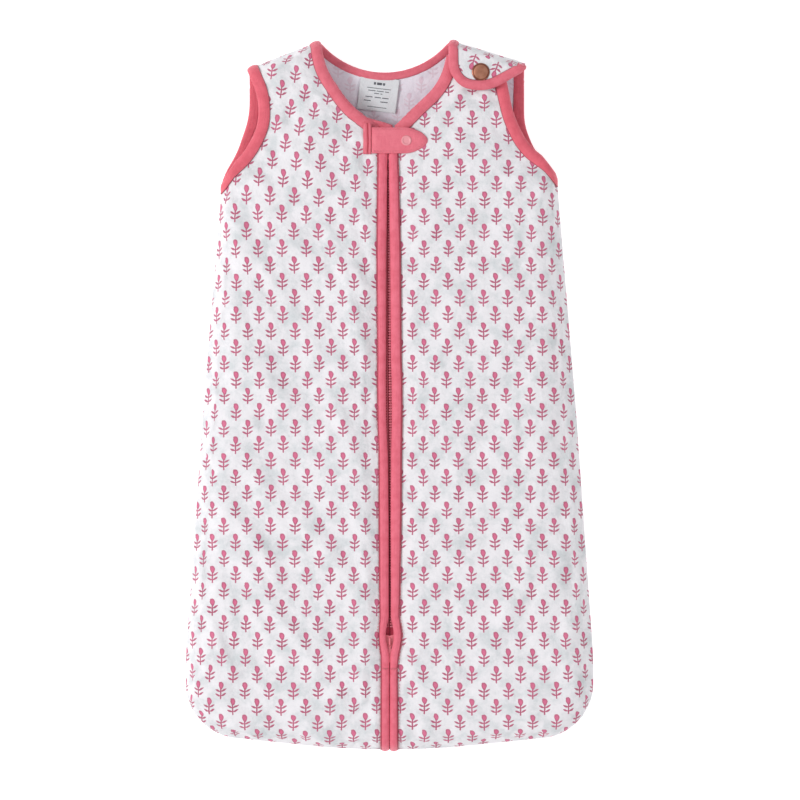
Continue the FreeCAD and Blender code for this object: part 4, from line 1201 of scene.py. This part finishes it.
def plackets():
    """The folded strips over the zip, from the hem to the neck."""
    for side, seed in (("left", 61), ("right", 64)):
        sign = -1 if side == "left" else 1
        y = np.arange(STRIP_FOOT, STRIP_HEAD, 2.4)
        along = y - y[0]
        puff = 0.22 * ripple(seed, along, 21.0) + 0.1 * ripple(seed + 1, along, 6.0)
        inner, outer = strip_edge(side, y, False), strip_edge(side, y, True)
        wide = np.abs(outer - inner)
        head = 0.35 + 0.65 * smooth(STRIP_HEAD - y, 0, 5)
        foot = 0.3 + 0.7 * smooth(along, 0, 13)
        bulge = 1.3 * np.exp(-(((y - SLIDER_Y) / 13) ** 2))
        section = [(1.0, -1.3), (0.62, -1.35), (0.56, -0.45), (0.0, -0.45)]
        for t in np.linspace(0, 1, 17):
            section.append((t, 2.35 * math.sin(math.pi * t) ** 0.62 - 0.35))
        rings = []
        for share, height in section:
            x = inner + sign * wide * share
            pressed = head * foot if height > 0 else head
            up = height * pressed + (puff if height > 0.3 else 0) + bulge * (1 - share)
            rings.append(FRONT.lift(np.column_stack([x, y]), up))
        rings = np.stack(rings, 1)
        v = np.array([10.0 * share + (1.5 if height < -1 else 0) for share, height in section])
        build = Build()
        build.sweep(rings, along, v)
        path = np.column_stack([inner, y])
        inward = np.column_stack([np.full(len(y), float(sign)), np.zeros(len(y))])
        stitches(build, path, inward, FRONT, float(wide.mean()) * 0.93, 0.5)
        for k in range(8):
            share = (0.12 + 0.1 * k, 0.2 + 0.1 * k)
            ends = []
            for part, lean in zip(share, (-0.7, 0.7)):
                x = strip_edge(side, BAR_TACK, False) + sign * 8.0 * part
                high = 2.35 * math.sin(math.pi * part) ** 0.62 - 0.25
                ends.append(FRONT.lift(np.array([[x, BAR_TACK + lean]]), [high])[0])
            bar(build, ends[0], ends[1], 0.3, 1, 6)
        piece = outward_faces(build.finish(f"{side}_placket_strip", [PLACKET_ROSE, THREAD]))
        assign(piece, "rose_satin", f"{side}_placket", f"lower_{side}_placket", side=side)


def zips():
    """Each side's tape with its row of coil."""
    for side in ("left", "right"):
        sign = -1 if side == "left" else 1
        build = Build()
        y = np.arange(-318.0, 243.0, 4.0)
        mid = zip_line(y)
        rings = []
        near_edge = -0.2 if side == "right" else 0.3
        far_edge = 8.8
        section = [(near_edge, TAPE_LOW), (far_edge, TAPE_LOW), (far_edge, TAPE_TOP)]
        for across, z in section + [(near_edge, TAPE_TOP)]:
            rings.append(spread(mid + sign * across, y, z))
        build.sweep(np.stack(rings, 1), y - y[0], np.array([0.0, 6.6, 7.0, 13.6]), 0)
        teeth = np.arange(-222.0, 240.0, 2.6)
        for yt in teeth:
            x0 = float(zip_line(yt))
            inner = -0.1 if side == "right" else 2.2
            root = (x0 + sign * inner, yt, COIL_Z)
            tip = (x0 + sign * 3.8, yt + 0.25, COIL_Z - 0.05)
            bar(build, root, tip, 0.78, 1)
        spine = np.arange(-222.0, 240.0, 4.0)
        xs = zip_line(spine)
        for k in (1.4, 2.9):
            ring = []
            for a in np.linspace(0, 2 * math.pi, 6, endpoint=False):
                up = COIL_Z + 0.5 + 0.28 * math.sin(a)
                ring.append(spread(xs + sign * k + 0.3 * math.cos(a), spine, up))
            build.sweep(np.stack(ring, 1), spine - spine[0], np.arange(6.0), 2)
        piece = outward_faces(build.finish(f"{side}_zip_half", [TAPE, COIL, THREAD]))
        foot = "zip_foot_coils" if side == "left" else "zip_foot_tapes"
        assign(piece, "coil", f"{side}_zip_coil", f"{side}_zip_tape", foot, side=side)


def plate(build, outline, low, high, soften):
    """A flat metal part with softened edges from its plan outline."""
    loop = Loop(np.array(outline, float), 0.35)
    levels = [
        (soften, low), (soften * 0.3, low + soften * 0.3), (0.0, low + soften),
        (0.0, high - soften), (soften * 0.3, high - soften * 0.3), (soften, high),
    ]
    rings = []
    for inset, z in levels:
        p = loop.points + loop.inward * inset
        rings.append(spread(p[:, 0], p[:, 1], z))
    rings = np.stack(rings)
    count = len(loop.points)
    build.sweep(rings, np.arange(float(len(levels))), np.arange(float(count)))


def middle_of(node):
    """Plan middle of a CAD node, in millimetres."""
    low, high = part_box(node)
    return (low[0] + high[0]) / 2 / MM, (low[1] + high[1]) / 2 / MM


def lathe(build, at, profile, sides=56):
    """A round part about a vertical axis; profile is (radius, height) from foot to top."""
    profile = np.array(profile, float)
    turn = np.linspace(0, 2 * math.pi, sides, endpoint=False)
    rings = []
    for radius, z in profile:
        rings.append(spread(at[0] + radius * np.cos(turn), at[1] + radius * np.sin(turn), z))
    build.sweep(np.stack(rings), np.arange(float(len(profile))), turn * 4)


def symmetric(half, y0):
    """A closed outline from its right half, which ends on the middle line."""
    right = [(x, y0 + y) for x, y in half]
    left = [(-x, y) for x, y in right[-2::-1]]
    return left[-1:] + right + left[:-1]


def slider_and_pull():
    """The slider, and the pull on its bridge, as they stand at the foot of the zip."""
    y0 = SLIDER_Y
    build = Build()
    half = [(3.4, -6.4), (4.3, -3.2), (6.0, 2.6), (5.9, 5.4), (4.6, 6.5), (2.4, 6.2), (0.0, 5.4)]
    shield = symmetric(half, y0)
    plate(build, shield, 23.7, 24.6, 0.3)
    plate(build, shield, 28.0, 28.9, 0.3)
    wedge = [(-0.8, y0 + 4.8), (0, y0 + 2.4), (0.8, y0 + 4.8), (0, y0 + 5.6)]
    plate(build, wedge, 24.4, 28.2, 0.2)
    for sign in (-1, 1):
        for low, high in ((24.5, 25.3), (27.3, 28.1)):
            lip = [
                (sign * 5.9, y0 + 4.0), (sign * 5.2, y0 + 4.2), (sign * 4.6, y0 - 1.2),
                (sign * 3.9, y0 - 4.4), (sign * 4.5, y0 - 4.4), (sign * 5.3, y0 - 0.8),
            ]
            plate(build, lip, low, high, 0.12)
    arch = np.linspace(-4.0, 4.0, 17)
    top = 28.7 + 1.75 * np.sqrt(np.clip(1 - (arch / 4.05) ** 4, 0, 1))
    rings = []
    for a in np.linspace(0, 2 * math.pi, 10, endpoint=False):
        rings.append(spread(0.8 * math.cos(a), y0 + arch, top + 0.42 * math.sin(a)))
    build.sweep(np.stack(rings, 1), arch, np.arange(10.0), 0)
    build.move(zip_line(y0))
    body = outward_faces(build.finish("zip_slider", [ENAMEL]))
    assign(body, "zip_enamel", "slider_body", body="slider")

    build = Build()
    tongue = symmetric([(1.0, -4.9), (1.6, -8.0), (1.75, -17.5), (1.2, -19.6), (0, -20.2)], y0)
    plate(build, tongue, 28.75, 29.65, 0.22)
    limb = [(-1.25, 0.2), (-1.5, -1.6), (-1.4, -3.4), (-1.0, -5.2), (-0.5, -5.5)]
    ring_path = limb + [(-x, y) for x, y in reversed(limb)]
    points = np.array([(x, y0 + y, 29.2) for x, y in ring_path])
    points = resampled(points, 0.5)
    tangent = unit(np.gradient(points, axis=0))
    side = np.cross(tangent, (0, 0, 1))
    rings = []
    for a in np.linspace(0, 2 * math.pi, 10, endpoint=False):
        rings.append(points + 0.42 * (side * math.cos(a) + np.array([0, 0, 1.0]) * math.sin(a)))
    build.sweep(np.stack(rings, 1), np.arange(float(len(points))), np.arange(10.0), 0)
    bar(build, (-1.5, y0 + 0.1, 29.2), (1.5, y0 + 0.1, 29.2), 0.45, 0)
    build.move(zip_line(y0))
    tab = outward_faces(build.finish("zip_pull", [ENAMEL]))
    assign(tab, "zip_enamel", "pull_tab", body="pull")


def guard_tab():
    """The tab over the zip's head with its ring snap, and the strip that holds its root."""
    sx, sy = middle_of("guard_snap_cap")
    plan = Loop(
        rounded(
            [
                (-17.0, 232.0, 0), (20.0, 232.0, 30), (31.5, 237.0, 14), (38.7, 244.5, 5),
                (31.5, 252.0, 14), (20.0, 257.0, 30), (-17.0, 257.0, 0),
            ],
            1.0,
        ),
        1.0,
    )
    flat, faces = cut_cloth([closed(plan.points)], plan.inside, 1.4)
    depth = plan.nearest(flat)[0]
    edge = np.sqrt(np.clip(depth / 1.6, 0, 1))
    puff = 0.35 * smooth(depth, 0.5, 5) - 0.4 * np.exp(-(((depth - 2.3) / 0.5) ** 2))
    dent = 0.3 * np.exp(-((np.hypot(flat[:, 0] - sx, flat[:, 1] - sy) / 6.5) ** 2))
    swell = 0.22 * noise(71, flat, 9) + 0.12 * noise(72, flat, 4)
    middle = 33.0
    rise = 0.25 + 1.15 * edge
    droop = -0.5 * smooth(flat[:, 0], 24, 37)
    top = middle + rise + puff - dent + swell * smooth(depth, 0, 3) + droop
    low = middle - 0.75 * edge - 0.1 + droop
    obj = quilted(
        "guard_tab_cloth",
        flat,
        faces,
        np.column_stack([flat, top]),
        np.column_stack([flat, low]),
        flat,
        [TAB_ROSE, TAB_ROSE],
        (0, 40.0),
    )
    outward_faces(obj)
    build = Build()
    ring = plan.points + plan.inward * 2.2
    ring = np.roll(ring, -int(np.argmin(ring[:, 0] + 0.01 * ring[:, 1])), 0)
    line = resampled(closed(ring), 2.9)
    for p, q in zip(line[:-1], line[1:]):
        if max(p[0], q[0]) < -14.5:
            continue
        d = (q - p) * 0.14
        z = 34.15 - 0.5 * float(smooth(p[0], 24, 37))
        bar(build, (*(p + d), z), (*(q - d), z), 0.3, 0, 6)
    sewing = outward_faces(build.finish("guard_tab_stitching", [THREAD]))
    assign(obj, "rose_satin", "guard_tab", body="guard_tab")
    assign(sewing, "rose_satin", body="guard_tab")

    build = Build()
    foot = 34.3
    lathe(
        build,
        (sx, sy),
        [
            (1.1, 33.0), (1.3, foot - 0.2), (4.7, foot - 0.05), (4.95, foot + 0.25),
            (4.8, foot + 0.75), (4.3, foot + 1.05), (3.7, foot + 1.0), (3.3, foot + 0.75),
            (3.0, foot + 0.42), (2.6, foot + 0.36), (0.6, foot + 0.42), (0.02, foot + 0.44),
        ],
    )
    cap = outward_faces(build.finish("guard_ring_snap", [ROSE_CAP]))
    assign(cap, "rose_cap", "guard_snap_cap", body="guard_tab")

    build = Build()
    y = np.arange(231.5, 262.0, 1.5)
    sway = 0.25 * ripple(75, y, 9)
    section = [
        (-17.6, 30.6), (-17.2, 32.6), (-17.9, 33.6), (-19.1, 33.8), (-19.9, 33.2), (-20.3, 31.2),
        (-20.7, 31.2), (-21.1, 32.5), (-22.2, 33.0), (-23.8, 32.7), (-24.9, 31.9), (-25.3, 30.8),
        (-24.8, 29.6), (-18.0, 29.6),
    ]
    end = smooth(np.minimum(y - 231.0, 262.5 - y), 0, 2.2)
    rings = []
    for x, z in section:
        rings.append(spread(x + sway, y, 29.6 + (z - 29.6) * (0.5 + 0.5 * end)))
    build.sweep(np.stack(rings, 1), y - y[0], np.arange(float(len(section))) * 1.2, 0)
    strip = outward_faces(build.finish("guard_root_strip", [NECK_ROSE]))
    assign(strip, "rose_satin", "guard_tab_strip", body="left_lapel")


def shoulder_flap():
    """The back's shoulder turned over the front: cloth, binding and copper snap."""
    seam = Loop(TURNED.seam_loop())
    cut = grown(FLAP, -CUT_BACK)

    def keep(p):
        return seam.inside(p) & cut.inside(p)

    lines = [near(closed(seam.points)), near(closed(cut.points))]
    flat, faces = cut_cloth(lines, keep, 2.6)
    depth = cut.nearest(flat)[0]
    cx, cy = middle_of("shoulder_snap_cap")
    dent = np.exp(-((np.hypot(flat[:, 0] - cx, flat[:, 1] - cy) / 11.0) ** 2))
    rise = 0.5 * noise(81, flat, 17) * smooth(depth, 6, 14) - 0.9 * dent
    rise -= 0.5 * np.exp(-(((depth - 6.2) / 1.4) ** 2))
    outer = TURNED.lift(flat, rise - 0.6 * (1 - smooth(depth, 4, 9)))
    inner = TURNED.lift(flat, -3.9 + 1.2 * (1 - smooth(depth, 4, 10)))
    a = math.radians(200)
    uv = np.column_stack(
        [
            flat[:, 0] * math.cos(a) - flat[:, 1] * math.sin(a),
            flat[:, 0] * math.sin(a) + flat[:, 1] * math.cos(a),
        ]
    )
    obj = quilted(
        "shoulder_flap_panel", flat, faces, outer, inner, uv, [PRINT, LINING], LINING_SHIFT
    )
    outward_faces(obj)
    layers = ("outer", "wadding", "lining")
    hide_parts(*[f"shoulder_{part}_{k}" for part in ("flap", "turn") for k in layers])

    # the flap's own loop goes round the cloth, so its cloth is on the other side of the edge
    path, outward = along_loop(FLAP, seam, lambda p: np.abs(p[:, 0] - 93) < 40, 0.0)
    band = binding(
        "shoulder_flap_binding_cloth", path, -outward, TURNED, 8.8, 3.0, NECK_ROSE, 84, 0.95
    )
    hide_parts("shoulder_flap_binding")
    for piece in (obj, band):
        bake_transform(piece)

    build = Build()
    foot = FLAP_TOP - 0.7
    lathe(
        build,
        (cx, cy),
        [
            (1.5, 34.0), (1.6, foot - 0.3), (8.1, foot - 0.1), (8.55, foot + 0.3),
            (8.5, foot + 0.8), (8.1, foot + 1.15), (7.4, foot + 1.3), (7.0, foot + 1.22),
            (6.7, foot + 1.3), (5.2, foot + 1.62), (3.0, foot + 1.86), (1.2, foot + 1.96),
            (0.02, foot + 1.98),
        ],
    )
    cap = outward_faces(build.finish("shoulder_copper_cap", [COPPER]))
    # painted shade: the faces of the outer rim take the darker copper
    rim = cap.data
    rim.materials.append(COPPER_RIM)
    for face in rim.polygons:
        r = math.hypot(face.center[0] / MM - cx, face.center[1] / MM - cy)
        face.material_index = 1 if 6.8 < r < 8.7 else 0
    assign(cap, "copper_cap", "shoulder_snap_cap", body="shoulder_flap")


def neck_turn():
    """The neck binding's turned-in end, seen across the foot of the neck under the tab."""
    x = np.linspace(-21.0, 3.0, 15)
    y = np.interp(x, [-21.0, -6.0, 5.0], [263.0, 258.8, 255.0])
    rings = []
    section = [(-4.2, 24.0), (-3.8, 26.0), (0.0, 26.9), (3.4, 26.3), (4.2, 24.6), (0.0, 23.8)]
    for across, z in section:
        sway = 0.3 * noise(77, np.column_stack([x, x * 0 + across]), 7)
        rings.append(spread(x, y + across + sway, z))
    build = Build()
    build.sweep(np.stack(rings, 1), x, np.array([0.0, 2.4, 6.3, 9.8, 11.8, 16.0]))
    piece = outward_faces(build.finish("neck_binding_turn", [NECK_ROSE]))
    assign(piece, "rose_satin", body="left_lapel")


def neck_label():
    """Woven label on the lining, with plain woven lines in place of any words."""
    turn = math.radians(-7)
    c, s = math.cos(turn), math.sin(turn)

    def put(x, y, z):
        curl = 0.5 * smooth(np.abs(x), 12, 19) + 0.5 * smooth(-y, 8, 17)
        wave = 0.25 * noise(91, np.column_stack([x, y]), 12)
        tuck = 1.7 * smooth(y, 6, 15)
        return np.column_stack(
            [-11.0 + x * c - y * s, 291.2 + x * s + y * c, z + curl + wave - tuck]
        )

    nx, ny = 38, 34
    gx, gy = np.meshgrid(np.linspace(-19, 19, nx), np.linspace(-16.5, 16.5, ny))
    x, y = gx.ravel(), gy.ravel()
    faces = []
    for j in range(ny - 1):
        for i in range(nx - 1):
            a = j * nx + i
            faces.append((a, a + 1, a + nx + 1))
            faces.append((a, a + nx + 1, a + nx))
    faces = np.array(faces)
    flat = np.column_stack([x, y])
    fold = 0.25 * np.exp(-(((np.abs(y) - 15.2) / 0.5) ** 2))
    obj = quilted(
        "neck_label_cloth",
        flat,
        faces,
        put(x, y, 7.25 - fold),
        put(x, y, np.full(len(x), 6.85)),
        flat,
        [LABEL, LABEL],
        (0, 50.0),
    )
    outward_faces(obj)
    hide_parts("neck_label")
    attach(obj, "bag")

    build = Build()
    rows = [
        (10.2, [(-5.4, -3.4), (-2.4, 2.4), (3.4, 5.4)], 2.4),
        (5.6, [(-11.5, 11.5)], 0.6),
        (3.0, [(-10.0, -3.0), (-1.8, 5.0), (6.2, 10.0)], 0.7),
        (0.6, [(-4.0, 1.0), (2.0, 4.0)], 0.7),
        (-3.2, [(-12.0, -5.2), (-3.0, 3.0), (4.2, 10.5)], 0.8),
        (-7.0, [(-13.0, -6.4), (3.0, 10.0)], 0.8),
        (-12.6, [(-9.0, 9.5)], 0.6),
    ]
    for y_row, spans, high in rows:
        for low, top in spans:
            xs = np.linspace(low, top, max(3, int((top - low) / 0.9)))
            rings = []
            for dy, dz in ((-high / 2, 0.0), (-high / 2, 0.16), (high / 2, 0.16), (high / 2, 0.0)):
                rings.append(put(xs, np.full(len(xs), y_row + dy), 7.22 + dz))
            build.sweep(np.stack(rings, 1), xs, np.array([0, 0.2, high, high + 0.2]), 0)
    lines = outward_faces(build.finish("neck_label_lines", [LABEL_INK]))
    assign(lines, "label", body="bag")


def carried_over():
    """Finishes for the CAD pieces that are shown as they are."""
    looks = {
        "seam_allowance": CAD_WHITE,
        "zip_end_cover": CAD_ROSE,
    }
    stops = ["zip_bottom_stop", "left_top_stop", "right_top_stop"]
    snaps = [f"{at}_snap_{k}" for at in ("guard", "shoulder") for k in ("socket", "stud", "back")]
    looks.update(dict.fromkeys(stops + snaps, SNAP_METAL))
    for node, finish in looks.items():
        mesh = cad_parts[node].data
        mesh.materials.clear()
        mesh.materials.append(finish)


def studio():
    """Pale floor, soft light from the left, and the camera straight overhead."""
    mesh = bpy.data.meshes.new("floor")
    half, level = 4, -0.0006
    corners = [(-half, -half), (half, -half), (half, half), (-half, half)]
    mesh.from_pydata([(x, y, level) for x, y in corners], [], [(0, 1, 2, 3)])
    floor = bpy.data.objects.new("floor", mesh)
    bpy.context.scene.collection.objects.link(floor)
    made, _, shader = material("pale floor")
    shader.inputs["Base Color"].default_value = (0.62, 0.62, 0.62, 1)
    shader.inputs["Roughness"].default_value = 0.9
    shader.inputs["Emission Color"].default_value = (1, 1, 1, 1)
    shader.inputs["Emission Strength"].default_value = 0.74
    mesh.materials.append(made)

    world = bpy.data.worlds.new("studio")
    world.use_nodes = True
    world.node_tree.nodes["Background"].inputs[0].default_value = (0.97, 0.98, 1.0, 1)
    world.node_tree.nodes["Background"].inputs[1].default_value = 0.51
    bpy.context.scene.world = world

    def area(name, place, aim, size, power):
        light = bpy.data.lights.new(name, "AREA")
        light.shape = "SQUARE"
        light.size = size
        light.energy = power
        lamp = bpy.data.objects.new(name, light)
        lamp.location = place
        lamp.rotation_euler = (Vector(aim) - Vector(place)).to_track_quat("-Z", "Y").to_euler()
        bpy.context.scene.collection.objects.link(lamp)

    area("key", (-2.6, 0.4, 2.35), (0, 0, 0), 1.0, 68)
    area("fill", (1.8, -1.8, 2.2), (0, 0, 0), 1.8, 25)

    camera = bpy.data.cameras.new("camera")
    eye = bpy.data.objects.new("camera", camera)
    bpy.context.scene.collection.objects.link(eye)
    height, view_width = 3.0, 0.768
    camera.sensor_width = 36
    camera.lens = 36 * height / view_width
    camera.clip_end = 20
    eye.location = (0.0101, -0.0043, height + 0.028)
    bpy.context.scene.camera = eye
    bpy.context.scene.view_settings.view_transform = "Standard"


back_panel()
front_panel("left")
front_panel("right")
bindings()
plackets()
zips()
slider_and_pull()
guard_tab()
shoulder_flap()
neck_turn()
neck_label()
carried_over()
studio()
